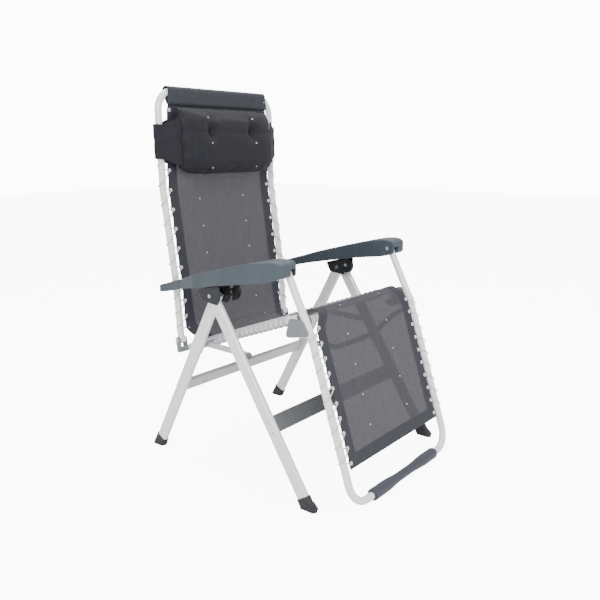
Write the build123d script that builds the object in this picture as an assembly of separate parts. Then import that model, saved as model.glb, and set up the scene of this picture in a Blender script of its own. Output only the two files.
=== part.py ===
from build123d import *
import os
from math import atan2, cos, degrees, hypot, radians, sin

# Folding recliner. The chair faces -Y, the sitter's left side is +X, the floor is Z = 0.
# Millimetres. Side-view points are (y, z) pairs.

os.makedirs("parts", exist_ok=True)

# ---------------------------------------------------------------- driving dimensions
MID_DEPTH = 161.0            # moves the side view so that the origin is at mid depth


def side(y, z):
    """A side-view point, measured from the middle of the footprint."""
    return (y + MID_DEPTH, z)


APEX = side(-79.0, 551.0)            # where front and rear legs meet, under the armrest
REAR_TOE = side(216.0, 0.0)
FRONT_TOE = side(-436.0, 0.0)
BACK_HINGE = side(142.0, 364.0)      # seat to backrest
ARM_REAR = side(180.0, 533.0)        # backrest to armrest
LINK = (ARM_REAR[0] - BACK_HINGE[0], ARM_REAR[1] - BACK_HINGE[1])
KNEE_HINGE = side(-350.0, 476.0)     # seat to legrest
ARM_FRONT = (KNEE_HINGE[0] + LINK[0], KNEE_HINGE[1] + LINK[1])

TUBE = 22.0                  # round frame tube, outside diameter
TUBE_WALL = 1.5
LEG_DEPTH = 40.0             # flat-oval leg, wide side facing outward
LEG_THICK = 18.0
LEG_WALL = 1.6

BACK_X = 253.0               # half spacing of the backrest tubes
RAIL_X = 228.0               # half spacing of the seat rails
LEGREST_X = 263.0            # half spacing of the legrest tubes
REAR_LEG_X = 299.0
FRONT_LEG_X = 319.0

SEAT_PIVOT_DROP = 188.0      # along the rear leg from the apex
STRUT_DROP = 200.0           # along the front leg from the apex
RAIL_REAR = side(125.0, 338.0)
RAIL_FRONT = side(-330.0, 508.0)
BACK_TUBE = [BACK_HINGE, side(155.0, 540.0), side(200.0, 836.0), side(209.0, 1138.0)]
KNEE = side(-396.2, 478.0)
LEGREST_END = side(-547.0, 20.0)

PIN = 4.0                    # hinge pin radius
RUN = 0.06                   # running clearance on a radius
CORD = 1.25                  # lacing cord radius
SLING = 2.4                  # sling thickness
BACK_SLING_HALF = 231.0
SEAT_SLING_HALF = 205.0
LEG_SLING_HALF = 242.0
EYELET_INSET = 8.0
EYELET_OUT = 5.0
EYELET_HOLE = 2.6


# ---------------------------------------------------------------- helpers
def save(shape, name):
    """Write one sub-part."""
    export_step(shape, f"parts/{name}.step")


def save_pair(shape, name):
    """Write a left-hand piece and its mirror image."""
    save(shape, f"{name}_left")
    save(shape.mirror(Plane.YZ), f"{name}_right")


def group(shapes):
    """Several separate solids as one node."""
    return Compound(children=[solid for shape in shapes for solid in shape.solids()])


def both(*shapes):
    """Left-hand pieces and their mirror images as one group of solids."""
    return group([*shapes, *[shape.mirror(Plane.YZ) for shape in shapes]])


def unit(start, end):
    """Unit vector from one side-view point to another."""
    length = hypot(end[0] - start[0], end[1] - start[1])
    return ((end[0] - start[0]) / length, (end[1] - start[1]) / length)


def along(start, direction, distance, offset=0.0):
    """Point at a distance along a direction, and offset to the left of it."""
    return (start[0] + direction[0] * distance - direction[1] * offset,
            start[1] + direction[1] * distance + direction[0] * offset)


def plate(points, x_low, x_high, radius=0.0):
    """Side-view outline extruded between two X positions."""
    if radius:
        line = FilletPolyline(*points, radius=radius, close=True)
    else:
        line = Polyline(*points, close=True)
    face = make_face(Plane.YZ.offset(x_low) * line)
    return extrude(face, amount=x_high - x_low, dir=(1, 0, 0))


def cross_pin(point, radius, x_low, x_high):
    """Round bar along X at a side-view point."""
    face = Plane.YZ.offset(x_low) * Pos(point[0], point[1]) * Circle(radius)
    return extrude(face, amount=x_high - x_low, dir=(1, 0, 0))


def tapered_lug(start, end, r_start, r_end, x_low, x_high):
    """Flat lug that joins a round end at one point to a round end at another."""
    discs = [Pos(start[0], start[1]) * Circle(r_start), Pos(end[0], end[1]) * Circle(r_end)]
    outline = make_hull(Sketch(children=discs).edges())
    return extrude(Plane.YZ.offset(x_low) * outline, amount=x_high - x_low, dir=(1, 0, 0))


def round_tube(path, radius, wall):
    """Hollow round tube along a path."""
    start = Plane(origin=path @ 0, z_dir=path % 0)
    outer = sweep(start * Circle(radius), path=path)
    if not wall:
        return outer
    return outer - sweep(start * Circle(radius - wall), path=path)


def flat_leg(start, end, x_middle, depth, thick, wall):
    """Flat-oval tube between two side-view points."""
    direction = unit(start, end)
    frame = Plane(origin=(x_middle, start[0], start[1]), x_dir=(1, 0, 0),
                  z_dir=(0, direction[0], direction[1]))
    length = hypot(end[0] - start[0], end[1] - start[1])
    outer = extrude(frame * Rot(0, 0, 90) * SlotOverall(depth, thick), amount=length)
    if not wall:
        return outer
    inner = frame * Rot(0, 0, 90) * SlotOverall(depth - 2 * wall, thick - 2 * wall)
    return outer - extrude(inner, amount=length)


def lacing(stations, tube_x, eyelet_x, normal, reach, front=20.0, hole=4.0):
    """Cord that goes through each eyelet, over the tube and back behind it.

    stations are side-view points down the tube, normal is the side-view direction
    that the sitter's face of the sling looks to.
    """
    points = []
    radii = []
    outer_x = tube_x + reach
    for index in range(len(stations) - 1):
        here = stations[index]
        after = stations[index + 1]

        def mix(part, lift):
            y = here[0] + (after[0] - here[0]) * part + normal[0] * lift
            z = here[1] + (after[1] - here[1]) * part + normal[1] * lift
            return (y, z)

        for x, part, lift, radius in ((eyelet_x, 0.0, -hole, 1.5), (eyelet_x, 0.0, hole, 1.5),
                                      (outer_x, 0.42, front, 9.0), (outer_x, 0.62, -front, 9.0)):
            y, z = mix(part, lift)
            points.append((x, y, z))
            radii.append(radius)
    last = stations[-1]
    points.append((eyelet_x, last[0] - normal[0] * hole, last[1] - normal[1] * hole))
    path = FilletPolyline(*points, radius=radii[1:])
    return round_tube(path, CORD, 0.0)


def stations_between(start, end, count):
    """Evenly spaced side-view points."""
    return [(start[0] + (end[0] - start[0]) * i / (count - 1),
             start[1] + (end[1] - start[1]) * i / (count - 1)) for i in range(count)]


def along_polyline(points, first, last, count):
    """Evenly spaced points along a side-view polyline, by distance from its start."""
    spots = []
    for index in range(count):
        left = first + (last - first) * index / (count - 1)
        for start, end in zip(points, points[1:]):
            length = hypot(end[0] - start[0], end[1] - start[1])
            if left <= length or end == points[-1]:
                spots.append(along(start, unit(start, end), left))
                break
            left -= length
    return spots


def sling_panel(line, half_width, thick):
    """Sheet of sling fabric: a side-view centre line given thickness and width."""
    upper = []
    lower = []
    for index, point in enumerate(line):
        before = line[max(index - 1, 0)]
        after = line[min(index + 1, len(line) - 1)]
        direction = unit(before, after)
        upper.append(along(point, direction, 0.0, thick / 2))
        lower.append(along(point, direction, 0.0, -thick / 2))
    return plate(upper + lower[::-1], -half_width, half_width)


def across(point, normal, x, radius, length):
    """Round bar at a point of the sling, standing square to the fabric."""
    frame = Plane(origin=(x, point[0], point[1]), z_dir=(0, normal[0], normal[1]))
    return extrude(frame * Circle(radius), amount=length / 2, both=True)


def eyelet_rings(stations, x_middle, normal):
    """Ring pressed into the sling at each station, both sides."""
    rings = []
    for point in stations:
        for x in (x_middle, -x_middle):
            ring = across(point, normal, x, EYELET_OUT, SLING + 1.6)
            rings.append(ring - across(point, normal, x, EYELET_HOLE, SLING + 3.0))
    return rings


def punch(panel, stations, x_middle, normal):
    """Holes through the sling for the eyelets."""
    for point in stations:
        for x in (x_middle, -x_middle):
            panel -= across(point, normal, x, EYELET_OUT, 12.0)
    return panel


# ---------------------------------------------------------------- legs
rear_dir = unit(APEX, REAR_TOE)
front_dir = unit(APEX, FRONT_TOE)
rear_length = hypot(REAR_TOE[0] - APEX[0], REAR_TOE[1] - APEX[1])
front_length = hypot(FRONT_TOE[0] - APEX[0], FRONT_TOE[1] - APEX[1])
SEAT_PIVOT = along(APEX, rear_dir, SEAT_PIVOT_DROP)
STRUT_FRONT = along(APEX, front_dir, STRUT_DROP)

LEG_TOP = 6.0                # leg stands this far above the apex rivet
LEG_STOP = 14.0              # leg ends this far short of the floor, inside its rubber foot
RIVET = 4.0


def leg(direction, length, x_middle):
    top = along(APEX, direction, -LEG_TOP)
    bottom = along(APEX, direction, length - LEG_STOP)
    tube = flat_leg(top, bottom, x_middle, LEG_DEPTH, LEG_THICK, LEG_WALL)
    return tube - cross_pin(APEX, RIVET + RUN, x_middle - LEG_THICK, x_middle + LEG_THICK)


rear_leg = leg(rear_dir, rear_length, REAR_LEG_X)
front_leg = leg(front_dir, front_length, FRONT_LEG_X)


def crossbar(direction, middle, height, thick, offset, half_length):
    """Flat tube between two legs, its tall side lying along them."""
    centre = along(APEX, direction, middle, offset)
    start = along(centre, direction, -height / 2)
    end = along(centre, direction, height / 2)
    normal = (-direction[1], direction[0])
    corners = [along(start, normal, -thick / 2), along(end, normal, -thick / 2),
               along(end, normal, thick / 2), along(start, normal, thick / 2)]
    wall = 1.4
    inner = [along(along(start, normal, -thick / 2 + wall), direction, wall),
             along(along(end, normal, -thick / 2 + wall), direction, -wall),
             along(along(end, normal, thick / 2 - wall), direction, -wall),
             along(along(start, normal, thick / 2 - wall), direction, wall)]
    outer = plate(corners, -half_length, half_length, radius=4.0)
    return outer - plate(inner, -half_length, half_length, radius=2.6)


REAR_BAR_DROP = 369.0
FRONT_BAR_DROP = 408.0
rear_bar_half = REAR_LEG_X - LEG_THICK / 2
front_bar_half = FRONT_LEG_X - LEG_THICK / 2
rear_crossbar = crossbar(rear_dir, REAR_BAR_DROP, 46.0, 14.0, 6.0, rear_bar_half)
front_crossbar = crossbar(front_dir, FRONT_BAR_DROP, 50.0, 14.0, -6.0, front_bar_half)


def bar_rivets(direction, drops, offset, x_outer):
    """Domed rivet heads on the outer face of a leg."""
    heads = []
    for drop in drops:
        head = cross_pin(along(APEX, direction, drop, offset), 4.6, x_outer, x_outer + 2.2)
        heads.append(chamfer(head.edges().group_by(Axis.X)[-1], 1.3))
    return heads


rear_bar_rivets = bar_rivets(rear_dir, (361.0, 387.0), 4.0, REAR_LEG_X + LEG_THICK / 2)
front_bar_rivets = bar_rivets(front_dir, (400.0, 428.0), -4.0, FRONT_LEG_X + LEG_THICK / 2)

FOOT_WALL = 3.2


def foot(direction, length, x_middle, height, toe):
    """Rubber foot: a cap over the end of the leg, cut level with the floor."""
    top = along(APEX, direction, length - height)
    bottom = along(APEX, direction, length + 30.0)
    depth = LEG_DEPTH + 2 * FOOT_WALL
    thick = LEG_THICK + 2 * FOOT_WALL
    cap = flat_leg(top, bottom, x_middle, depth, thick, 0.0)
    heel = along(APEX, direction, length)
    out = 1.0 if direction[0] > 0 else -1.0
    wedge = [(heel[0] - out * 22.0, 0.0), (heel[0] + out * toe, 0.0), (heel[0] + out * toe, 8.0),
             (heel[0] + out * 8.0, 22.0), (heel[0] - out * 22.0, 22.0)]
    cap += plate(wedge, x_middle - thick / 2, x_middle + thick / 2, radius=3.5)
    cap -= Pos(x_middle, heel[0], -50.0) * Box(200.0, 300.0, 100.0)
    socket_top = along(APEX, direction, 0.0)
    socket_end = along(APEX, direction, length - LEG_STOP)
    return cap - flat_leg(socket_top, socket_end, x_middle, LEG_DEPTH, LEG_THICK, 0.0)


rear_foot = foot(rear_dir, rear_length, REAR_LEG_X, 36.0, 16.0)
front_foot = foot(front_dir, front_length, FRONT_LEG_X, 36.0, 23.0)

# ---------------------------------------------------------------- hub under the armrest
HUB_IN = REAR_LEG_X - LEG_THICK / 2 - 0.4
HUB_OUT = FRONT_LEG_X + LEG_THICK / 2 + 0.4
HUB_WALL = 2.8
HUB_TOP = 27.0


def hub_outline():
    """Outline of a hub cheek: flat top, tapered below."""
    a, b = APEX
    return [(a + 48.0, b + HUB_TOP - 12.0), (a + 30.0, b - 17.0), (a - 30.0, b - 23.0),
            (a - 40.0, b - 8.0), (a - 40.0, b + HUB_TOP + 7.0)]


hub_inner = plate(hub_outline(), HUB_IN - HUB_WALL, HUB_IN, radius=6.0)
hub_outer = plate(hub_outline(), HUB_OUT, HUB_OUT + HUB_WALL, radius=6.0)
bridge_line = [(APEX[0] + 34.0, APEX[1] + HUB_TOP - 9.0), (APEX[0] + 34.0, APEX[1] + HUB_TOP - 12.0),
               (APEX[0] - 36.0, APEX[1] + HUB_TOP + 3.0), (APEX[0] - 36.0, APEX[1] + HUB_TOP + 6.0)]
hub = hub_inner + hub_outer + plate(bridge_line, HUB_IN - 0.5, HUB_OUT + 0.5)
hub -= cross_pin(APEX, RIVET, HUB_IN - 10.0, HUB_OUT + 10.0)
hub_rivet = cross_pin(APEX, RIVET, HUB_IN - HUB_WALL, HUB_OUT + HUB_WALL)
hub_rivet += cross_pin(APEX, 5.6, HUB_OUT + HUB_WALL, HUB_OUT + HUB_WALL + 1.6)
hub_rivet += cross_pin(APEX, 6.5, HUB_IN - HUB_WALL - 1.8, HUB_IN - HUB_WALL)

# lock lever: half-round knob ahead of the hub on its inner side
LEVER_PIVOT = (APEX[0] - 46.0, APEX[1] + 14.0)
LEVER_IN = 276.0
LEVER_OUT = HUB_IN - HUB_WALL - 0.3
LEVER_RADIUS = 27.0
lever_disc = cross_pin(LEVER_PIVOT, LEVER_RADIUS, LEVER_IN, LEVER_OUT)
lever_cut = plate([(LEVER_PIVOT[0] + 6.0, LEVER_PIVOT[1] - 60.0),
                   (LEVER_PIVOT[0] + 60.0, LEVER_PIVOT[1] - 60.0),
                   (LEVER_PIVOT[0] + 60.0, LEVER_PIVOT[1] + 60.0),
                   (LEVER_PIVOT[0] - 14.0, LEVER_PIVOT[1] + 60.0)],
                  LEVER_IN - 5.0, LEVER_OUT + 5.0)
lock_lever = lever_disc - lever_cut
lever_eye = cross_pin(LEVER_PIVOT, 9.0, LEVER_IN, LEVER_OUT)
lock_lever = lock_lever + lever_eye - cross_pin(LEVER_PIVOT, PIN + RUN, LEVER_IN - 5.0, LEVER_OUT + 5.0)
hub_ear = tapered_lug((APEX[0] - 30.0, APEX[1] + 6.0), LEVER_PIVOT, 14.0, 9.0,
                      HUB_IN - HUB_WALL, HUB_IN)
hub += hub_ear
hub -= cross_pin(LEVER_PIVOT, PIN, HUB_IN - 10.0, HUB_IN + 5.0)
hub -= cross_pin(APEX, RIVET, HUB_IN - 10.0, HUB_OUT + 10.0)
lever_rivet = cross_pin(LEVER_PIVOT, PIN, LEVER_IN, HUB_IN)
lever_rivet += cross_pin(LEVER_PIVOT, 6.0, LEVER_IN - 1.5, LEVER_IN)

# ---------------------------------------------------------------- seat pivot and strut
bracket_top = along(SEAT_PIVOT, rear_dir, -24.0)
bracket_end = along(SEAT_PIVOT, rear_dir, 22.0)
bracket = flat_leg(bracket_top, bracket_end, REAR_LEG_X, LEG_DEPTH + 4.4, LEG_THICK + 4.4, 0.0)
bracket -= flat_leg(along(SEAT_PIVOT, rear_dir, -60.0), along(SEAT_PIVOT, rear_dir, 60.0),
                    REAR_LEG_X, LEG_DEPTH, LEG_THICK, 0.0)
BRACKET_FACE = REAR_LEG_X - LEG_THICK / 2 - 2.2
STRUT_IN = 281.0
STRUT_OUT = 285.0
pivot_boss = cross_pin(SEAT_PIVOT, 10.0, STRUT_OUT + 0.4, BRACKET_FACE + 0.5)
bracket += pivot_boss
bracket -= cross_pin(SEAT_PIVOT, PIN + RUN, STRUT_OUT - 2.0, REAR_LEG_X - LEG_THICK / 2)

strut = tapered_lug(SEAT_PIVOT, STRUT_FRONT, 9.0, 9.0, STRUT_IN, STRUT_OUT)
strut -= cross_pin(SEAT_PIVOT, PIN + RUN, STRUT_IN - 5.0, STRUT_OUT + 5.0)
strut -= cross_pin(STRUT_FRONT, PIN, STRUT_IN - 5.0, STRUT_OUT + 5.0)
RUNNER_FACE = FRONT_LEG_X - LEG_THICK / 2 - 0.5
runner = cross_pin(STRUT_FRONT, 9.0, STRUT_OUT, RUNNER_FACE)
runner += cross_pin(STRUT_FRONT, PIN, STRUT_IN, STRUT_OUT)
runner += cross_pin(STRUT_FRONT, 7.0, STRUT_IN - 2.0, STRUT_IN)

rail_out = RAIL_X + TUBE / 2
rail_dir = unit(RAIL_REAR, RAIL_FRONT)
pivot_pin = cross_pin(SEAT_PIVOT, PIN, RAIL_X - TUBE / 2 - 2.0, REAR_LEG_X - LEG_THICK / 2 - 0.2)
pivot_pin += cross_pin(SEAT_PIVOT, 7.0, RAIL_X - TUBE / 2 - 4.0, RAIL_X - TUBE / 2 - 0.3)
pivot_pin += cross_pin(SEAT_PIVOT, 9.0, rail_out + 0.5, STRUT_IN - 0.4)

# ---------------------------------------------------------------- seat frame
rail_path = Line((RAIL_X, *RAIL_REAR), (RAIL_X, *RAIL_FRONT))
seat_rail = round_tube(rail_path, TUBE / 2, TUBE_WALL)
seat_rail -= cross_pin(SEAT_PIVOT, PIN + RUN, RAIL_X - TUBE, RAIL_X + TUBE)

# cast elbow that turns the rail down to the knee hinge
ELBOW = 12.5
elbow_corner = along(RAIL_FRONT, rail_dir, 36.0)
elbow_path = FilletPolyline((RAIL_X, *RAIL_FRONT), (RAIL_X, *elbow_corner),
                            (RAIL_X, KNEE_HINGE[0], KNEE_HINGE[1]), radius=14.0)
elbow = round_tube(elbow_path, ELBOW, 0.0)
KNEE_LUG_IN = 249.0
elbow += cross_pin(KNEE_HINGE, 13.0, RAIL_X - 8.0, KNEE_LUG_IN - 1.0)

# outer cheek of the same casting: it reaches behind the legrest tube and covers its outer side
CHEEK_IN = LEGREST_X + TUBE / 2 + 0.7
CHEEK_OUT = CHEEK_IN + 5.6
CHEEK_ARM = (KNEE_HINGE[0] + 19.0, KNEE_HINGE[1] - 6.0)
cheek_discs = [(0.0, 0.0, 11.5), (19.0, -6.0, 8.5), (8.0, 30.0, 10.0), (-24.0, 30.0, 9.0), (-41.0, 6.0, 7.5)]
cheek_outline = make_hull(Sketch(children=[Pos(KNEE_HINGE[0] + y, KNEE_HINGE[1] + z) * Circle(radius)
                                           for y, z, radius in cheek_discs]).edges())
elbow += tapered_lug(KNEE_HINGE, CHEEK_ARM, 13.0, 7.5, RAIL_X, KNEE_LUG_IN - 1.0)
elbow += cross_pin(CHEEK_ARM, 7.5, KNEE_LUG_IN - 2.0, CHEEK_IN + 1.0)
elbow += extrude(Plane.YZ.offset(CHEEK_IN) * cheek_outline, amount=CHEEK_OUT - CHEEK_IN, dir=(1, 0, 0))
elbow -= cross_pin(KNEE_HINGE, PIN + RUN, RAIL_X - TUBE, KNEE_LUG_IN + 5.0)

# bracket that carries the backrest hinge above the rear end of the rail
HINGE_PLATE = 3.5
BACK_IN = BACK_X - TUBE / 2
BACK_OUT = BACK_X + TUBE / 2
hinge_plate_out = tapered_lug(along(RAIL_REAR, rail_dir, -12.0), BACK_HINGE, 9.0, 11.0,
                              BACK_OUT + 0.6, BACK_OUT + 0.6 + HINGE_PLATE)
hinge_block = tapered_lug(along(RAIL_REAR, rail_dir, -4.0), along(RAIL_REAR, rail_dir, -20.0),
                          9.0, 8.0, RAIL_X - TUBE / 2, BACK_OUT + 0.7)
hinge_block -= plate([along(RAIL_REAR, rail_dir, 0.0, -20.0), along(RAIL_REAR, rail_dir, 0.0, 20.0),
                      along(RAIL_REAR, rail_dir, 40.0, 20.0), along(RAIL_REAR, rail_dir, 40.0, -20.0)],
                     RAIL_X - TUBE, BACK_OUT + 10.0)
back_bracket = hinge_block + hinge_plate_out
back_bracket += tapered_lug(along(RAIL_REAR, rail_dir, -12.0), BACK_HINGE, 9.0, 11.0,
                            BACK_IN - 0.6 - HINGE_PLATE, BACK_IN - 0.6)
back_bracket -= cross_pin(BACK_HINGE, PIN + RUN, BACK_IN - 20.0, BACK_OUT + 20.0)
back_bracket -= round_tube(rail_path, TUBE / 2, 0.0)

back_pin = cross_pin(BACK_HINGE, PIN, BACK_IN - 0.6 - HINGE_PLATE - 1.0, BACK_OUT + 2.0 + HINGE_PLATE)
back_pin += cross_pin(BACK_HINGE, 7.5, BACK_OUT + 0.9 + HINGE_PLATE, BACK_OUT + 3.0 + HINGE_PLATE)
back_pin += cross_pin(BACK_HINGE, 7.5, BACK_IN - 3.0 - HINGE_PLATE, BACK_IN - 0.9 - HINGE_PLATE)

# ---------------------------------------------------------------- backrest
TOP_BEND = 62.0
TUBE_BEND = 160.0


def frame_path(side_points, half, corner):
    """Path of a bent tube: down one side, across and up the other."""
    points = [(half, y, z) for y, z in side_points]
    mirrored = [(-half, y, z) for y, z in reversed(side_points)]
    bends = [TUBE_BEND] * (len(side_points) - 2)
    return FilletPolyline(*(points + mirrored), radius=bends + [corner, corner] + bends)


back_frame = round_tube(frame_path(BACK_TUBE, BACK_X, TOP_BEND), TUBE / 2, TUBE_WALL)
ARM_LUG_IN = BACK_X + 5.0
ARM_LUG_OUT = BACK_OUT + 1.2
back_low_dir = unit(BACK_TUBE[0], BACK_TUBE[1])
tube_by_arm = along(BACK_TUBE[0], back_low_dir, 171.0)
arm_lug = tapered_lug(tube_by_arm, ARM_REAR, 7.0, 9.0, ARM_LUG_IN, ARM_LUG_OUT)
arm_lug -= round_tube(Line((BACK_X, *BACK_TUBE[0]), (BACK_X, *along(BACK_TUBE[0], back_low_dir, 260.0))),
                      TUBE / 2 - 0.7, 0.0)
arm_lug -= cross_pin(ARM_REAR, PIN + RUN, ARM_LUG_IN - 10.0, ARM_LUG_OUT + 10.0)
back_frame += arm_lug + arm_lug.mirror(Plane.YZ)
back_end = cross_pin(BACK_HINGE, 11.0, BACK_IN, BACK_OUT)
back_end -= cross_pin(BACK_HINGE, PIN + RUN, BACK_IN - 5.0, BACK_OUT + 5.0)
back_frame -= cross_pin(BACK_HINGE, 11.0, BACK_IN, BACK_OUT)
back_frame -= cross_pin(BACK_HINGE, 11.0, -BACK_OUT, -BACK_IN)

arm_pin = cross_pin(ARM_REAR, PIN, BACK_X + 3.5, BACK_OUT + 13.0)
arm_pin += cross_pin(ARM_REAR, 7.0, BACK_X + 1.6, BACK_X + 4.6)

# ---------------------------------------------------------------- legrest
LINK_TOP = along(ARM_FRONT, unit(KNEE, ARM_FRONT), 12.0)
legrest_points = [LINK_TOP, KNEE, LEGREST_END]
LEGREST_CORNER = 60.0
legrest_frame = round_tube(frame_path(legrest_points, LEGREST_X, LEGREST_CORNER), TUBE / 2, TUBE_WALL)
leg_dir = unit(KNEE, LEGREST_END)
leg_normal = (leg_dir[1], -leg_dir[0])
knee_spot = along(KNEE, leg_dir, 8.0)
knee_lug = tapered_lug(knee_spot, KNEE_HINGE, 9.0, 11.0, KNEE_LUG_IN, KNEE_LUG_IN + 5.0)
knee_lug += tapered_lug(knee_spot, along(knee_spot, unit(knee_spot, KNEE_HINGE), 14.0), 9.0, 9.0,
                        KNEE_LUG_IN, LEGREST_X)
knee_lug -= round_tube(frame_path(legrest_points, LEGREST_X, LEGREST_CORNER), TUBE / 2 - 0.7, 0.0)
knee_lug -= cross_pin(KNEE_HINGE, PIN + RUN, KNEE_LUG_IN - 5.0, KNEE_LUG_IN + 10.0)
legrest_frame += knee_lug + knee_lug.mirror(Plane.YZ)
link_hole = cross_pin(ARM_FRONT, PIN + 0.3, LEGREST_X - TUBE, LEGREST_X + TUBE)
legrest_frame -= link_hole + link_hole.mirror(Plane.YZ)

knee_pin = cross_pin(KNEE_HINGE, PIN, RAIL_X - ELBOW - 3.0, KNEE_LUG_IN + 6.5)
knee_pin += cross_pin(KNEE_HINGE, 7.0, RAIL_X - ELBOW - 3.0, RAIL_X - ELBOW - 0.7)
knee_pin += cross_pin(KNEE_HINGE, 7.0, KNEE_LUG_IN + 5.3, KNEE_LUG_IN + 7.2)

# bowed tube behind the calves
# stations: x, distance down the legrest, distance behind it
BOW_STATIONS = [(LEGREST_X - 3.0, 14.0, 6.0), (206.0, 30.0, 42.0), (96.0, 66.0, 60.0)]
bow_side = [(x, *along(KNEE, leg_dir, drop, behind)) for x, drop, behind in BOW_STATIONS]
bow_points = bow_side + [(-x, y, z) for x, y, z in reversed(bow_side)]
bow_path = FilletPolyline(*bow_points, radius=[46.0, 150.0, 150.0, 46.0])
legrest_cross_tube = round_tube(bow_path, 8.0, 1.2)
legrest_cross_tube -= round_tube(frame_path(legrest_points, LEGREST_X, LEGREST_CORNER), TUBE / 2, 0.0)
legrest_cross_tube -= knee_lug + knee_lug.mirror(Plane.YZ)

# foam grip on the bottom bar: thick ends, slim waist
GRIP_HALF = 178.0
grip_profile = [(0.0, 11.3), (-GRIP_HALF, 11.3), (-GRIP_HALF, 14.5), (-GRIP_HALF + 10, 17.5),
                (-GRIP_HALF + 40, 17.5), (-70.0, 14.2), (0.0, 13.4)]
grip_half_face = make_face(Plane.XZ * Polyline(*grip_profile, close=True))
grip_left = revolve(grip_half_face, Axis.X, 360)
foot_grip = Pos(0, *LEGREST_END) * (grip_left + grip_left.mirror(Plane.YZ))

# ---------------------------------------------------------------- armrest
# plan outline from rear to front, outer side then inner side: (x, y)
ARM_PLAN = [(267.6, 196.0), (290.0, 196.0), (295.0, 150.0), (310.0, 69.0), (338.0, -15.0),
            (344.0, -110.0), (346.0, -190.0), (346.0, -247.0), (308.0, -337.0), (248.0, -337.0),
            (248.0, -292.0), (251.0, -250.0), (260.0, -190.0), (267.6, -110.0)]
# top from rear to front, underside from front to rear: (y, z)
ARM_TOP = [(196.0, 543.0), (150.0, 556.0), (69.0, 580.0), (-15.0, 606.0), (-110.0, 632.0),
           (-190.0, 653.0), (-247.0, 666.0), (-300.0, 673.0), (-325.0, 671.0), (-337.0, 664.0)]
ARM_LOW = [(-337.0, 634.0), (-322.0, 625.0), (-300.0, 618.0), (-247.0, 609.0), (-190.0, 600.0),
           (-110.0, 586.0), (-15.0, 567.0), (69.0, 549.0), (150.0, 529.0), (196.0, 521.0)]
ARM_WALL = 3.0
ARM_EDGE = 6.0               # rounding of the top edges
HOLLOW_FRONT = -328.0
HOLLOW_REAR = 140.0


def arm_profile(drop, floor):
    """Side outline of the armrest; drop lowers the top and floor replaces the underside."""
    top = [side(y, z - drop) for y, z in ARM_TOP]
    low = [side(y, z) for y, z in ARM_LOW]
    if floor:
        low = [(top[-1][0], floor), (top[0][0], floor)]
    under = Spline(*low) if len(low) > 2 else Line(*low)
    outline = Spline(*top) + Line(top[-1], low[0]) + under + Line(low[-1], top[0])
    return extrude(make_face(Plane.YZ.offset(200.0) * outline), amount=200.0, dir=(1, 0, 0))


arm_plan = [(x, y + MID_DEPTH) for x, y in ARM_PLAN]
arm_face = make_face(Plane.XY * FilletPolyline(*arm_plan, radius=7.0, close=True))
armrest = extrude(arm_face, amount=800.0) & arm_profile(0.0, 0.0)
arm_tops = [face for face in armrest.faces() if face.normal_at(face.center()).Z > 0.8]
armrest = fillet([edge for face in arm_tops for edge in face.edges()], ARM_EDGE)
hollow_face = offset(make_face(Plane.XY * Polyline(*arm_plan, close=True)), -ARM_WALL)
hollow = extrude(hollow_face, amount=800.0) & arm_profile(ARM_WALL, 400.0)
hollow &= Pos(300.0, (HOLLOW_FRONT + HOLLOW_REAR) / 2 + MID_DEPTH, 600.0) * Box(
    300.0, HOLLOW_REAR - HOLLOW_FRONT, 500.0)
armrest -= hollow
rear_boss = cross_pin(ARM_REAR, PIN + RUN, BACK_OUT - 5.0, BACK_OUT + 13.2)
armrest -= rear_boss
armrest -= cross_pin(ARM_FRONT, PIN, 240.0, LEGREST_X + TUBE)
link_slot_points = [(ARM_FRONT[0] - 60.0, ARM_FRONT[1] - 60.0), (ARM_FRONT[0] + 30.0, ARM_FRONT[1] - 60.0),
                    (ARM_FRONT[0] + 30.0, ARM_FRONT[1] + 19.0), (ARM_FRONT[0] - 9.0, ARM_FRONT[1] + 19.0),
                    (ARM_FRONT[0] - 17.8, ARM_FRONT[1] + 9.0), (ARM_FRONT[0] - 17.8, ARM_FRONT[1] + 7.5),
                    (ARM_FRONT[0] - 25.0, ARM_FRONT[1] + 5.3), (ARM_FRONT[0] - 60.0, ARM_FRONT[1] - 5.5)]
armrest -= plate(link_slot_points, LEGREST_X - TUBE / 2 - 1.0, LEGREST_X + TUBE / 2 + 1.0)

arm_front_rivet = cross_pin(ARM_FRONT, PIN, 246.5, LEGREST_X + TUBE / 2 + 0.5)
arm_front_rivet += cross_pin(ARM_FRONT, 5.5, 244.4, 247.1)
arm_front_washer = cross_pin(ARM_FRONT, 13.0, 245.2, 247.1) - cross_pin(ARM_FRONT, 5.7, 240.0, 250.0)

# ---------------------------------------------------------------- sling and lacing
SLING_TOP = 1104.0
LACE_REACH = TUBE / 2 + CORD + 0.3   # from tube centre to the cord where it passes outside


def plane_normal(start, end):
    """Side-view normal on the sitter's side of a sling line running from start to end."""
    direction = unit(start, end)
    return (-direction[1], direction[0])


back_top_dir = unit(BACK_TUBE[2], BACK_TUBE[3])
back_normal = plane_normal(BACK_TUBE[1], BACK_TUBE[2])
back_line = [along(BACK_TUBE[0], back_low_dir, 96.0), BACK_TUBE[1], BACK_TUBE[2],
             along(BACK_TUBE[2], back_top_dir, SLING_TOP - BACK_TUBE[2][1])]
back_eyelets = along_polyline(BACK_TUBE, 116.0, 721.0, 11)
back_sling = sling_panel(back_line, BACK_SLING_HALF, SLING)
back_eyelet_x = BACK_SLING_HALF - EYELET_INSET
back_sling = punch(back_sling, back_eyelets, back_eyelet_x, back_normal)
back_eyelet_rings = eyelet_rings(back_eyelets, back_eyelet_x, back_normal)
back_lacing = lacing(back_eyelets, BACK_X, back_eyelet_x, back_normal, LACE_REACH)

sleeve_path = Line((-186.0, *BACK_TUBE[3]), (186.0, *BACK_TUBE[3]))
top_sleeve = round_tube(sleeve_path, TUBE / 2 + 2.2, 1.8)

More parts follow.
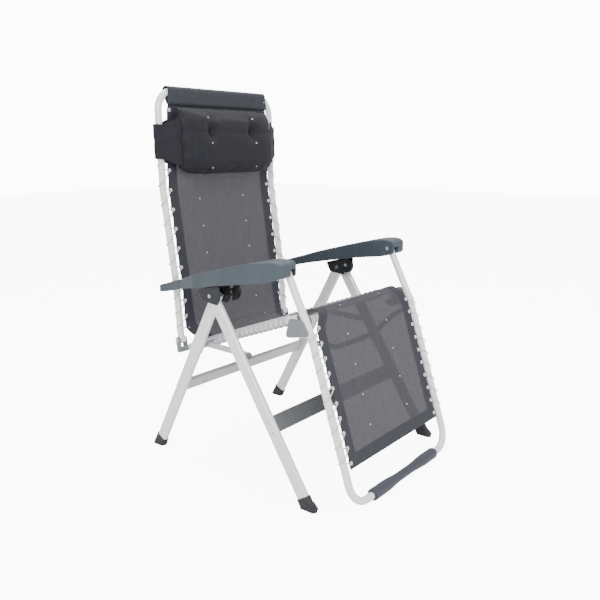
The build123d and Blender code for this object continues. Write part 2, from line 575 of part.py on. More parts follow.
seat_normal = plane_normal(RAIL_FRONT, RAIL_REAR)
seat_line = [along(RAIL_REAR, rail_dir, 36.0), along(RAIL_FRONT, rail_dir, -10.0)]
seat_sling = sling_panel(seat_line, SEAT_SLING_HALF, SLING)
winding_x = SEAT_SLING_HALF + CORD + 1.0
rail_length = hypot(RAIL_FRONT[0] - RAIL_REAR[0], RAIL_FRONT[1] - RAIL_REAR[1])
pivot_spot = (RAIL_REAR[0] - SEAT_PIVOT[0]) / abs(rail_dir[0])
seat_turns_rear = stations_between(along(RAIL_REAR, rail_dir, 40.0),
                                   along(RAIL_REAR, rail_dir, pivot_spot - 14.0), 4)
seat_turns_front = stations_between(along(RAIL_REAR, rail_dir, pivot_spot + 14.0),
                                    along(RAIL_REAR, rail_dir, rail_length - 14.0), 15)

leg_sling_line = [along(KNEE, leg_dir, 4.0), along(KNEE, leg_dir, 386.0)]
legrest_sling = sling_panel(leg_sling_line, LEG_SLING_HALF, SLING)
leg_eyelets = stations_between(along(KNEE, leg_dir, 31.0), along(KNEE, leg_dir, 369.0), 9)
leg_eyelet_x = LEG_SLING_HALF - EYELET_INSET
leg_face = (-leg_normal[0], -leg_normal[1])
legrest_sling = punch(legrest_sling, leg_eyelets, leg_eyelet_x, leg_face)
legrest_eyelet_rings = eyelet_rings(leg_eyelets, leg_eyelet_x, leg_face)
legrest_lacing = lacing(leg_eyelets, LEGREST_X, leg_eyelet_x, leg_face, LACE_REACH)


def winding(stations):
    """Cord wound close round the seat rail."""
    return lacing(stations, RAIL_X, winding_x, seat_normal, 12.6 + CORD, front=16.0, hole=10.0)


seat_lacing = winding(seat_turns_rear) + winding(seat_turns_front)

# ---------------------------------------------------------------- headrest
PILLOW_HALF = 218.0
HEAD_MID = 985.0
head_spot = along(BACK_TUBE[2], back_top_dir, HEAD_MID - BACK_TUBE[2][1])
pillow_face = Plane(origin=(0, head_spot[0], head_spot[1]), x_dir=(0, 1, 0), z_dir=(1, 0, 0))
pillow_outline = [(-19.0, -112.0), (-56.0, -108.0), (-74.0, -78.0), (-76.0, -10.0),
                  (-66.0, 60.0), (-48.0, 108.0), (-19.0, 111.0)]
pillow_shape = make_face(pillow_face * FilletPolyline(*pillow_outline, radius=14.0, close=True))
headrest_pillow = extrude(pillow_shape, amount=PILLOW_HALF, both=True)

STRAP_HALF = 272.0
STRAP_HEIGHT = 104.0
STRAP_THICK = 1.6
STRAP_DEPTH = 50.0
strap_spot = along(BACK_TUBE[2], back_top_dir, 990.0 - BACK_TUBE[2][1])
strap_plane = Plane(origin=(0, strap_spot[0], strap_spot[1]), x_dir=(1, 0, 0),
                    z_dir=(0, back_top_dir[0], back_top_dir[1]))
strap_outer = strap_plane * RectangleRounded(2 * STRAP_HALF, STRAP_DEPTH, 16.0)
strap_inner = strap_plane * RectangleRounded(2 * (STRAP_HALF - STRAP_THICK), STRAP_DEPTH - 2 * STRAP_THICK,
                                             16.0 - STRAP_THICK)
headrest_strap = extrude(strap_outer - strap_inner, amount=STRAP_HEIGHT / 2, both=True)
strap_gap = strap_plane * Pos(0, -STRAP_DEPTH / 2) * Rectangle(2 * PILLOW_HALF + 0.4, STRAP_DEPTH)
headrest_strap -= extrude(strap_gap, amount=STRAP_HEIGHT, both=True)

# ---------------------------------------------------------------- write the parts
for name, shape in (("rear_leg", rear_leg), ("front_leg", front_leg), ("rear_foot", rear_foot),
                    ("front_foot", front_foot), ("hub", hub), ("lock_lever", lock_lever),
                    ("seat_bracket", bracket), ("strut", strut), ("seat_rail", seat_rail),
                    ("knee_elbow", elbow), ("back_hinge_bracket", back_bracket),
                    ("armrest", armrest), ("back_lacing", back_lacing),
                    ("seat_lacing", seat_lacing), ("legrest_lacing", legrest_lacing),
                    ("armrest_washer", arm_front_washer)):
    save_pair(shape, name)

for name, shape in (("rear_crossbar", rear_crossbar), ("front_crossbar", front_crossbar),
                    ("back_frame", back_frame), ("legrest_frame", legrest_frame),
                    ("legrest_cross_tube", legrest_cross_tube), ("foot_grip", foot_grip),
                    ("back_sling", back_sling), ("top_sleeve", top_sleeve),
                    ("seat_sling", seat_sling), ("legrest_sling", legrest_sling),
                    ("headrest_pillow", headrest_pillow), ("headrest_strap", headrest_strap)):
    save(shape, name)

for name, shape in (("hub_rivets", hub_rivet), ("lock_lever_rivets", lever_rivet),
                    ("strut_runners", runner), ("seat_pivot_pins", pivot_pin),
                    ("back_hinge_pins", back_pin), ("back_tube_ends", back_end),
                    ("armrest_rear_pins", arm_pin), ("armrest_front_rivets", arm_front_rivet),
                    ("knee_pins", knee_pin)):
    save(both(shape), name)

for name, shapes in (("rear_crossbar_rivets", rear_bar_rivets),
                     ("front_crossbar_rivets", front_bar_rivets)):
    save(both(*shapes), name)

save(group(back_eyelet_rings), "back_eyelets")
save(group(legrest_eyelet_rings), "legrest_eyelets")
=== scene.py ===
"""Visual model of a folding camping recliner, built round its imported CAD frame.

Lengths are metres in the frame of the part: the chair faces -Y, the sitter's left is +X, the floor is Z = 0.
"""
import logging
import math
from dataclasses import dataclass, field
from enum import Enum
from typing import Callable, Sequence

import bmesh
import bpy
import numpy as np
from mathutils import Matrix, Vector


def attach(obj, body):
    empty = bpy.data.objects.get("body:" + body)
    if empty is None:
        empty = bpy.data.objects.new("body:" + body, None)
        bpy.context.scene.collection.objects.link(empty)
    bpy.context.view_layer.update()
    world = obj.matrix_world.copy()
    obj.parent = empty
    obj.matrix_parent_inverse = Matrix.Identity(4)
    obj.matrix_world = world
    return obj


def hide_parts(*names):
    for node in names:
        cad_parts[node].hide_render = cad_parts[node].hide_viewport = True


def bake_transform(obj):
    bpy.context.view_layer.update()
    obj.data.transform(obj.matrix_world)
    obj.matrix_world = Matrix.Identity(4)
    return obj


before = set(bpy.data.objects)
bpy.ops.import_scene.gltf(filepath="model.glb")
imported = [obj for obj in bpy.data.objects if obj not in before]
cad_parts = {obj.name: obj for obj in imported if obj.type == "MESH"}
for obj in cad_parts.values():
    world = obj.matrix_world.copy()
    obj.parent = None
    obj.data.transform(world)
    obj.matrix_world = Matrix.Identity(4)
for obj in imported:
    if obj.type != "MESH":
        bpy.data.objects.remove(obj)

LOG = logging.getLogger("recliner")
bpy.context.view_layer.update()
MM = 0.001
Point = tuple[float, float]
Node = bpy.types.Node
Socket = bpy.types.NodeSocket


# ---------------------------------------------------------------- shader helpers
def linear(hex_colour: str) -> tuple[float, float, float, float]:
    """Turns an sRGB hex colour into linear RGBA.

    Args:
        hex_colour: six hex digits, such as "5F5E66".
    Returns:
        The linear colour with alpha 1.
    """
    channels = [int(hex_colour[i:i + 2], 16) / 255.0 for i in (0, 2, 4)]
    bent = [c / 12.92 if c <= 0.04045 else ((c + 0.055) / 1.055) ** 2.4 for c in channels]
    return (bent[0], bent[1], bent[2], 1.0)


def add_node(tree: bpy.types.NodeTree, kind: str, settings: dict | None = None, **inputs: object) -> Node:
    """Adds a shader node with its settings and links.

    Args:
        tree: the material's node tree.
        kind: the node's Blender type name.
        settings: attributes to set on the node.
        inputs: a value or an output socket for each input; "a_b" stands for "A B", "_2" for input 2.
    Returns:
        The new node.
    """
    node = tree.nodes.new(kind)
    for name, value in (settings or {}).items():
        setattr(node, name, value)
    for name, value in inputs.items():
        key = int(name[1:]) if name.startswith("_") else name.replace("_", " ")
        socket = node.inputs[key]
        if isinstance(value, Socket):
            tree.links.new(value, socket)
        else:
            socket.default_value = value
    return node


class Space(Enum):
    """Coordinates that a pattern is laid out in."""

    OBJECT = "Object"
    CLOTH = "UV"


@dataclass(frozen=True)
class Finish:
    """A surface finish. Each kind of finish says how its shader is made."""

    name: str
    colour: str
    roughness: float = 0.5

    def material(self) -> bpy.types.Material:
        """Makes the material, or returns the one already made."""
        made = bpy.data.materials.get(self.name)
        if made:
            return made
        made = bpy.data.materials.new(self.name)
        made.use_nodes = True
        made.node_tree.nodes.clear()
        shader = self.shade(made.node_tree)
        add_node(made.node_tree, "ShaderNodeOutputMaterial", Surface=shader.outputs[0])
        made.diffuse_color = linear(self.colour)
        return made

    def coordinates(self, tree: bpy.types.NodeTree, space: Space = Space.OBJECT) -> Socket:
        """Output socket of the coordinates of a pattern, in metres."""
        return add_node(tree, "ShaderNodeTexCoord").outputs[space.value]

    def noise(self, tree: bpy.types.NodeTree, place: Socket, size_mm: float, detail: float = 3.0) -> Socket:
        """Noise whose lumps are about size_mm across.

        Args:
            tree: the material's node tree.
            place: coordinates in metres.
            size_mm: lump size in millimetres.
            detail: octaves of finer lumps.
        Returns:
            The noise value socket.
        """
        node = add_node(tree, "ShaderNodeTexNoise", Vector=place, Scale=1.0 / (size_mm * MM), Detail=detail)
        return node.outputs[0]

    def tint(self, tree: bpy.types.NodeTree, mask: Socket, dark: str, light: str) -> Socket:
        """Colour that goes from dark to light with a mask."""
        node = add_node(tree, "ShaderNodeMix", {"data_type": "RGBA"}, _0=mask, _6=linear(dark),
                        _7=linear(light))
        return node.outputs[2]

    def bump(self, tree: bpy.types.NodeTree, height: Socket, depth_mm: float,
             strength: float = 1.0) -> Socket:
        """Normal from a height between 0 and 1 that stands depth_mm high."""
        node = add_node(tree, "ShaderNodeBump", Height=height, Distance=depth_mm * MM, Strength=strength)
        return node.outputs[0]

    def remap(self, tree: bpy.types.NodeTree, value: Socket, low: float, high: float) -> Socket:
        """Stretches a 0 to 1 value to the range from low to high."""
        node = add_node(tree, "ShaderNodeMapRange", Value=value, To_Min=low, To_Max=high)
        return node.outputs[0]

    def shade(self, tree: bpy.types.NodeTree) -> Node:
        """Makes the shader node. Each finish has its own."""
        raise NotImplementedError


# ---------------------------------------------------------------- finishes
@dataclass(frozen=True)
class CoatedAluminium(Finish):
    """Drawn aluminium tube with satin silver-white lacquer: soft highlights, a faint drawing grain."""

    roughness: float = 0.36
    metallic: float = 0.35
    grain_mm: float = 1.6

    def shade(self, tree: bpy.types.NodeTree) -> Node:
        """Satin lacquer over metal, with faint cloudiness and orange peel."""
        place = self.coordinates(tree)
        peel = self.noise(tree, place, self.grain_mm, 2.0)
        cloud = self.noise(tree, place, 60.0)
        base = tree.nodes.new("ShaderNodeMix")
        base.data_type = "RGBA"
        base.inputs[6].default_value = tuple(c * 0.94 for c in linear(self.colour)[:3]) + (1.0,)
        base.inputs[7].default_value = linear(self.colour)
        tree.links.new(cloud, base.inputs[0])
        rough = self.remap(tree, cloud, self.roughness - 0.05, self.roughness + 0.07)
        normal = self.bump(tree, peel, 0.02)
        return add_node(tree, "ShaderNodeBsdfPrincipled", Base_Color=base.outputs[2], Roughness=rough,
                        Metallic=self.metallic, Normal=normal)


@dataclass(frozen=True)
class PlatedSteel(Finish):
    """Zinc-plated steel pins and rivets: bright metal with fine scratches."""

    roughness: float = 0.3

    def shade(self, tree: bpy.types.NodeTree) -> Node:
        """Bright metal whose roughness wanders a little."""
        place = self.coordinates(tree)
        scratch = self.noise(tree, place, 1.2, 5.0)
        rough = self.remap(tree, scratch, self.roughness - 0.08, self.roughness + 0.12)
        normal = self.bump(tree, scratch, 0.02)
        base = self.tint(tree, scratch, "B9BCC0", self.colour)
        return add_node(tree, "ShaderNodeBsdfPrincipled", Base_Color=base, Metallic=1.0, Roughness=rough,
                        Normal=normal)


@dataclass(frozen=True)
class MouldedNylon(Finish):
    """Injection-moulded plastic with a spark-eroded grain: a dull sheen broken up by fine leathery pits."""

    light: str = "404A52"
    grain_mm: float = 1.1
    depth_mm: float = 0.06

    def shade(self, tree: bpy.types.NodeTree) -> Node:
        """Grained plastic, a little paler where hands polish it."""
        place = self.coordinates(tree)
        cells = add_node(tree, "ShaderNodeTexVoronoi", {"feature": "F1"}, Vector=place,
                         Scale=1.0 / (self.grain_mm * MM)).outputs[0]
        wear = self.noise(tree, place, 45.0, 4.0)
        base = self.tint(tree, wear, self.colour, self.light)
        rough = self.remap(tree, wear, self.roughness + 0.06, self.roughness - 0.06)
        normal = self.bump(tree, cells, self.depth_mm)
        return add_node(tree, "ShaderNodeBsdfPrincipled", Base_Color=base, Roughness=rough, IOR=1.5,
                        Normal=normal)


@dataclass(frozen=True)
class MouldedRubber(Finish):
    """Black moulded rubber foot: matt, dusty in its pores."""

    roughness: float = 0.72

    def shade(self, tree: bpy.types.NodeTree) -> Node:
        """Matt rubber with a grey bloom."""
        place = self.coordinates(tree)
        bloom = self.noise(tree, place, 9.0, 6.0)
        pores = self.noise(tree, place, 0.9, 2.0)
        base = self.tint(tree, bloom, self.colour, "34363A")
        normal = self.bump(tree, pores, 0.08)
        return add_node(tree, "ShaderNodeBsdfPrincipled", Base_Color=base, Roughness=self.roughness, IOR=1.5,
                        Normal=normal)


@dataclass(frozen=True)
class SkinnedFoam(Finish):
    """Closed-cell foam sleeve with a moulded skin: soft dull sheen over fine cells."""

    roughness: float = 0.62
    cell_mm: float = 1.8

    def shade(self, tree: bpy.types.NodeTree) -> Node:
        """Foam cells under a skin."""
        place = self.coordinates(tree)
        cells = add_node(tree, "ShaderNodeTexVoronoi", {"feature": "SMOOTH_F1"}, Vector=place,
                         Scale=1.0 / (self.cell_mm * MM)).outputs[0]
        cloud = self.noise(tree, place, 22.0)
        base = self.tint(tree, cloud, self.colour, "363C47")
        normal = self.bump(tree, cells, 0.25)
        return add_node(tree, "ShaderNodeBsdfPrincipled", Base_Color=base, Roughness=self.roughness, IOR=1.45,
                        Sheen_Weight=0.15, Normal=normal)


@dataclass(frozen=True)
class BraidedElastic(Finish):
    """White elastic cord with a braided jacket: small slanted ribs that catch the light."""

    roughness: float = 0.6
    rib_mm: float = 1.3

    def shade(self, tree: bpy.types.NodeTree) -> Node:
        """Slanted ribs, with painted shade greying the hollows between them."""
        place = self.coordinates(tree)
        ribs = add_node(tree, "ShaderNodeTexWave", {"bands_direction": "DIAGONAL"}, Vector=place,
                        Scale=0.314 / (self.rib_mm * MM), Distortion=1.5).outputs[1]
        # painted shade: the low parts of the ribs are tinted grey B4B6B9, where shade would fall
        base = self.tint(tree, ribs, "B4B6B9", self.colour)
        normal = self.bump(tree, ribs, 0.2)
        return add_node(tree, "ShaderNodeBsdfPrincipled", Base_Color=base, Roughness=self.roughness,
                        Normal=normal)


@dataclass(frozen=True)
class WovenMesh(Finish):
    """PVC-coated polyester mesh, woven open: a fine grid with warp streaks, which lets some light by.

    The real threads are about 1 mm apart, too fine to show, so they are drawn coarser.
    """

    light: str = "6C6A73"
    roughness: float = 0.7
    thread_mm: float = 3.2
    opacity: float = 1.0
    dot_pitch: float = 0.0
    dot_from: float = 0.0
    space: Space = Space.CLOTH

    def threads(self, tree: bpy.types.NodeTree, place: Socket, direction: str) -> Socket:
        """Parallel threads across a direction."""
        return add_node(tree, "ShaderNodeTexWave", {"bands_direction": direction}, Vector=place,
                        Scale=0.314 / (self.thread_mm * MM), Distortion=0.6, Detail_Scale=2.0).outputs[1]

    def dot_mask(self, tree: bpy.types.NodeTree, place: Socket) -> Socket:
        """Mask of the small pale dots woven in two columns.

        Args:
            tree: the material's node tree.
            place: cloth coordinates, across and along, in metres.
        Returns:
            1 in a dot and 0 outside.
        """
        column, radius = 0.102, 0.0026
        split = add_node(tree, "ShaderNodeSeparateXYZ", Vector=place)
        height = split.outputs[1 if self.space is Space.CLOTH else 2]
        above = add_node(tree, "ShaderNodeMath", {"operation": "SUBTRACT"}, _0=height, _1=self.dot_from)
        side = add_node(tree, "ShaderNodeMath", {"operation": "ABSOLUTE"}, _0=split.outputs[0])
        across = add_node(tree, "ShaderNodeMath", {"operation": "SUBTRACT"}, _0=side.outputs[0], _1=column)
        row = add_node(tree, "ShaderNodeMath", {"operation": "PINGPONG"}, _0=above.outputs[0],
                       _1=self.dot_pitch / 2)
        square_a = add_node(tree, "ShaderNodeMath", {"operation": "POWER"}, _0=across.outputs[0], _1=2.0)
        square_b = add_node(tree, "ShaderNodeMath", {"operation": "POWER"}, _0=row.outputs[0], _1=2.0)
        total = add_node(tree, "ShaderNodeMath", {"operation": "ADD"}, _0=square_a.outputs[0],
                         _1=square_b.outputs[0])
        return add_node(tree, "ShaderNodeMath", {"operation": "LESS_THAN"}, _0=total.outputs[0],
                        _1=radius * radius).outputs[0]

    def shade(self, tree: bpy.types.NodeTree) -> Node:
        """Weave, warp streaks and dots."""
        place = self.coordinates(tree, self.space)
        warp = self.threads(tree, place, "X")
        weft = self.threads(tree, place, "Y" if self.space is Space.CLOTH else "Z")
        weave = add_node(tree, "ShaderNodeMath", {"operation": "MULTIPLY"}, _0=warp, _1=weft).outputs[0]
        long_way = add_node(tree, "ShaderNodeMapping", Vector=place, Scale=(1.0, 0.03, 0.03))
        streak = self.noise(tree, long_way.outputs[0], 3.0, 4.0)
        cloud = self.noise(tree, place, 70.0, 2.0)
        mixed = add_node(tree, "ShaderNodeMath", {"operation": "MULTIPLY_ADD"}, _0=weave, _1=0.35,
                         _2=self.remap(tree, streak, -0.15, 0.95)).outputs[0]
        shaded = add_node(tree, "ShaderNodeMath", {"operation": "MULTIPLY"}, _0=mixed,
                          _1=self.remap(tree, cloud, 0.85, 1.15)).outputs[0]
        base = self.tint(tree, shaded, self.colour, self.light)
        if self.dot_pitch:
            mask = self.dot_mask(tree, place)
            base = add_node(tree, "ShaderNodeMix", {"data_type": "RGBA"}, _0=mask, _6=base,
                            _7=linear("C9CACD")).outputs[2]
        normal = self.bump(tree, weave, 0.35)
        return add_node(tree, "ShaderNodeBsdfPrincipled", Base_Color=base, Roughness=self.roughness,
                        Alpha=self.opacity, Sheen_Weight=0.04, Sheen_Roughness=0.5,
                        Specular_IOR_Level=0.2, Normal=normal)


class Finishes:
    """Every finish of the recliner."""

    LEG = CoatedAluminium("coated_aluminium_leg", "F0F1F2", metallic=0.2)
    TUBE = CoatedAluminium("coated_aluminium_tube", "F5F5F6", roughness=0.3, metallic=0.1)
    REAR_BAR = CoatedAluminium("coated_aluminium_rear_bar", "D3D5D8")
    FRONT_BAR = CoatedAluminium("metallic_grey_front_bar", "8A8D90", metallic=0.45)
    RIVET = PlatedSteel("zinc_plated_rivet", "E2E4E6")
    STRUT = PlatedSteel("zinc_plated_strut", "D0D3D6", roughness=0.38)
    ARMREST = MouldedNylon("grained_slate_armrest", "343F46", roughness=0.46, light="3F4A52")
    HUB = MouldedNylon("grained_charcoal_hub", "181B1E", roughness=0.5, light="1F2326")
    LEVER = MouldedNylon("black_nylon_lever", "101113", roughness=0.42, light="181A1C")
    FITTING = MouldedNylon("grey_nylon_fitting", "6A6E72", roughness=0.45, light="7B7F82")
    RUBBER = MouldedRubber("moulded_black_rubber", "1B1C1E")
    FOAM = SkinnedFoam("skinned_blue_grey_foam", "262B35")
    CORD = BraidedElastic("braided_white_elastic", "E4E5E7")
    # the seat-rail winding is the same white elastic as CORD, drawn greyer as painted shade
    WINDING_PAINTED_SHADE = BraidedElastic("braided_white_elastic_painted_shade", "C4C6C9")
    EYELET = CoatedAluminium("white_enamelled_eyelet", "F4F4F4", metallic=0.0, roughness=0.3)
    MESH = WovenMesh("woven_sling_mesh", "3A383E", light="4F4C54", opacity=0.93, dot_pitch=0.0895)
    HEM = WovenMesh("woven_hem_tape", "2B2E33", light="3B3E44")
    PILLOW = WovenMesh("woven_pillow_cover", "17171D", light="27272E", space=Space.OBJECT, dot_pitch=0.0785,
                       dot_from=0.903, thread_mm=2.4)


NODE_FINISH = {
    "rear_leg": Finishes.LEG, "front_leg": Finishes.LEG, "rear_crossbar": Finishes.REAR_BAR,
    "front_crossbar": Finishes.FRONT_BAR, "rear_foot": Finishes.RUBBER, "front_foot": Finishes.RUBBER,
    "hub": Finishes.HUB, "lock_lever": Finishes.LEVER, "seat_bracket": Finishes.LEG,
    "strut": Finishes.STRUT, "strut_runners": Finishes.FITTING, "seat_rail": Finishes.TUBE,
    "knee_elbow": Finishes.FITTING, "back_hinge_bracket": Finishes.FITTING, "back_frame": Finishes.TUBE,
    "back_tube_ends": Finishes.TUBE, "armrest": Finishes.ARMREST, "armrest_washer": Finishes.ARMREST,
    "legrest_frame": Finishes.TUBE, "legrest_cross_tube": Finishes.TUBE,
}


def node_finish(node: str) -> Finish:
    """Finish of a CAD node, by its name with or without its side."""
    stem = node.removesuffix("_left").removesuffix("_right")
    return NODE_FINISH.get(stem, Finishes.RIVET)


def dress_node(node: str) -> None:
    """Gives a CAD node its finish."""
    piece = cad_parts[node]
    for place in piece.material_slots:
        place.material = node_finish(node).material()


# ---------------------------------------------------------------- mesh helpers
def smoothstep(value: float, low: float, high: float) -> float:
    """0 below low, 1 above high, and a smooth rise between them."""
    t = min(max((value - low) / (high - low), 0.0), 1.0)
    return t * t * (3.0 - 2.0 * t)


def mesh_piece(name: str, verts: Sequence[Sequence[float]], faces: Sequence[Sequence[int]],
               finishes: Sequence[Finish], smooth: bool = True) -> bpy.types.Object:
    """Makes a mesh object.

    Args:
        name: the piece's name.
        verts: vertex positions.
        faces: vertex numbers of each face.
        finishes: one finish for each material slot.
        smooth: whether the faces are smooth shaded.
    Returns:
        The new object, linked to the scene.
    """
    mesh = bpy.data.meshes.new(name)
    mesh.from_pydata([tuple(v) for v in verts], [], [tuple(f) for f in faces])
    for finish in finishes:
        mesh.materials.append(finish.material())
    for face in mesh.polygons:
        face.use_smooth = smooth
    mesh.validate()
    piece = bpy.data.objects.new(name, mesh)
    bpy.context.scene.collection.objects.link(piece)
    return piece


def fix_normals(piece: bpy.types.Object) -> None:
    """Turns every face of a closed mesh outward."""
    work = bmesh.new()
    work.from_mesh(piece.data)
    bmesh.ops.recalc_face_normals(work, faces=work.faces)
    work.to_mesh(piece.data)
    work.free()


def apply_modifiers(piece: bpy.types.Object) -> None:
    """Bakes a piece's modifiers into its mesh."""
    graph = bpy.context.evaluated_depsgraph_get()
    baked = bpy.data.meshes.new_from_object(piece.evaluated_get(graph))
    piece.modifiers.clear()
    piece.data = baked


def settle(piece: bpy.types.Object, body: str, slot: str, *nodes: str) -> bpy.types.Object:
    """Puts a finished piece on its body and hides the CAD nodes it replaces.

    Args:
        piece: the piece.
        body: the CAD body it rides on.
        slot: not used.
        nodes: the CAD nodes it replaces.
    Returns:
        The piece.
    """
    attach(piece, body)
    if nodes:
        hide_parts(*nodes)
    LOG.info("%s rides on %s", piece.name, body)
    return piece


def lathe(name: str, profile: Sequence[Point], origin: Vector, axis: Vector, steps: int,
          finish: Finish) -> bpy.types.Object:
    """Turns a profile round an axis.

    Args:
        name: the piece's name.
        profile: (distance along the axis, radius) pairs, closed into a loop.
        origin: a point on the axis.
        axis: direction of the axis.
        steps: facets round the axis.
        finish: the finish.
    Returns:
        The new object.
    """
    turn = axis.to_track_quat("Z", "Y").to_matrix()
    verts = []
    for along, radius in profile:
        for k in range(steps):
            angle = math.tau * k / steps
            local = Vector((radius * math.cos(angle), radius * math.sin(angle), along))
            verts.append(origin + turn @ local)
    rows = len(profile)
    faces = []
    for i in range(rows):
        for k in range(steps):
            a, b = i * steps, ((i + 1) % rows) * steps
            faces.append((a + k, a + (k + 1) % steps, b + (k + 1) % steps, b + k))
    piece = mesh_piece(name, verts, faces, [finish])
    fix_normals(piece)
    return piece


def join(name: str, pieces: list[bpy.types.Object]) -> bpy.types.Object:
    """Joins several mesh objects into one."""
    work = bmesh.new()
    for piece in pieces:
        work.from_mesh(piece.data)
    mesh = pieces[0].data.copy()
    mesh.name = name
    work.to_mesh(mesh)
    work.free()
    whole = bpy.data.objects.new(name, mesh)
    bpy.context.scene.collection.objects.link(whole)
    for piece in pieces:
        bpy.data.objects.remove(piece)
    for face in mesh.polygons:
        face.use_smooth = True
    return whole


# ---------------------------------------------------------------- side view of the frame
@dataclass(frozen=True)
class SideView:
    """Driving points of the frame in side view, as (y, z) in metres."""

    back_hinge: Point = (0.303, 0.364)
    back_tube: tuple[Point, ...] = ((0.303, 0.364), (0.316, 0.540), (0.361, 0.836), (0.370, 1.138))
    rail: tuple[Point, Point] = ((0.286, 0.338), (-0.169, 0.508))
    knee: Point = (-0.2352, 0.478)
    foot: Point = (-0.386, 0.020)
    back_x: float = 0.253
    rail_x: float = 0.228
    legrest_x: float = 0.263
    tube: float = 0.022


SIDE = SideView()


def unit(start: Point, end: Point) -> Point:
    """Unit vector from one side-view point to another."""
    length = math.dist(start, end)
    return ((end[0] - start[0]) / length, (end[1] - start[1]) / length)


def step(start: Point, direction: Point, along: float, offset: float = 0.0) -> Point:
    """Point at a distance along a direction, and offset to the left of it."""
    return (start[0] + direction[0] * along - direction[1] * offset,
            start[1] + direction[1] * along + direction[0] * offset)


class BentLine:
    """Side-view line whose corners are rounded, measured by the distance along it."""

    def __init__(self, corners: Sequence[Point], radii: Sequence[float]) -> None:
        """Rounds the corners and measures the line.

        Args:
            corners: the line's corner points.
            radii: bend radius at each inner corner.
        """
        points = [corners[0]]
        for before, here, after, radius in zip(corners, corners[1:], corners[2:], radii):
            into, out = unit(here, before), unit(here, after)
            half = math.acos(max(-1.0, min(1.0, into[0] * out[0] + into[1] * out[1]))) / 2.0
            reach = radius / math.tan(half)
            start, end = step(here, into, reach), step(here, out, reach)
            bisector = unit((0.0, 0.0), (into[0] + out[0], into[1] + out[1]))
            centre = step(here, bisector, radius / math.sin(half))
            a0 = math.atan2(start[1] - centre[1], start[0] - centre[0])
            a1 = math.atan2(end[1] - centre[1], end[0] - centre[0])
            sweep = (a1 - a0 + math.pi) % math.tau - math.pi
            for k in range(25):
                angle = a0 + sweep * k / 24
                points.append((centre[0] + radius * math.cos(angle), centre[1] + radius * math.sin(angle)))
        points.append(corners[-1])
        self.points = np.array(points)
        gaps = np.linalg.norm(np.diff(self.points, axis=0), axis=1)
        self.at = np.concatenate([[0.0], np.cumsum(gaps)])
        self.length = float(self.at[-1])

    def point(self, s: float) -> Point:
        """Point at a distance along the line."""
        y, z = (float(np.interp(s, self.at, self.points[:, axis])) for axis in (0, 1))
        return (y, z)

    def direction(self, s: float) -> Point:
        """Direction of the line at a distance along it."""
        reach = 0.004
        return unit(self.point(max(s - reach, 0.0)), self.point(min(s + reach, self.length)))

    def nearest(self, target: Point) -> float:
        """Distance along the line of its point nearest to a target."""
        dense = np.linspace(0.0, self.length, 4000)
        ys = np.interp(dense, self.at, self.points[:, 0])
        zs = np.interp(dense, self.at, self.points[:, 1])
        return float(dense[np.argmin((ys - target[0]) ** 2 + (zs - target[1]) ** 2)])


LEG_DIR = unit(SIDE.knee, SIDE.foot)
RAIL_DIR = unit(*SIDE.rail)
BACK_LINE = BentLine(SIDE.back_tube, (0.16, 0.16))


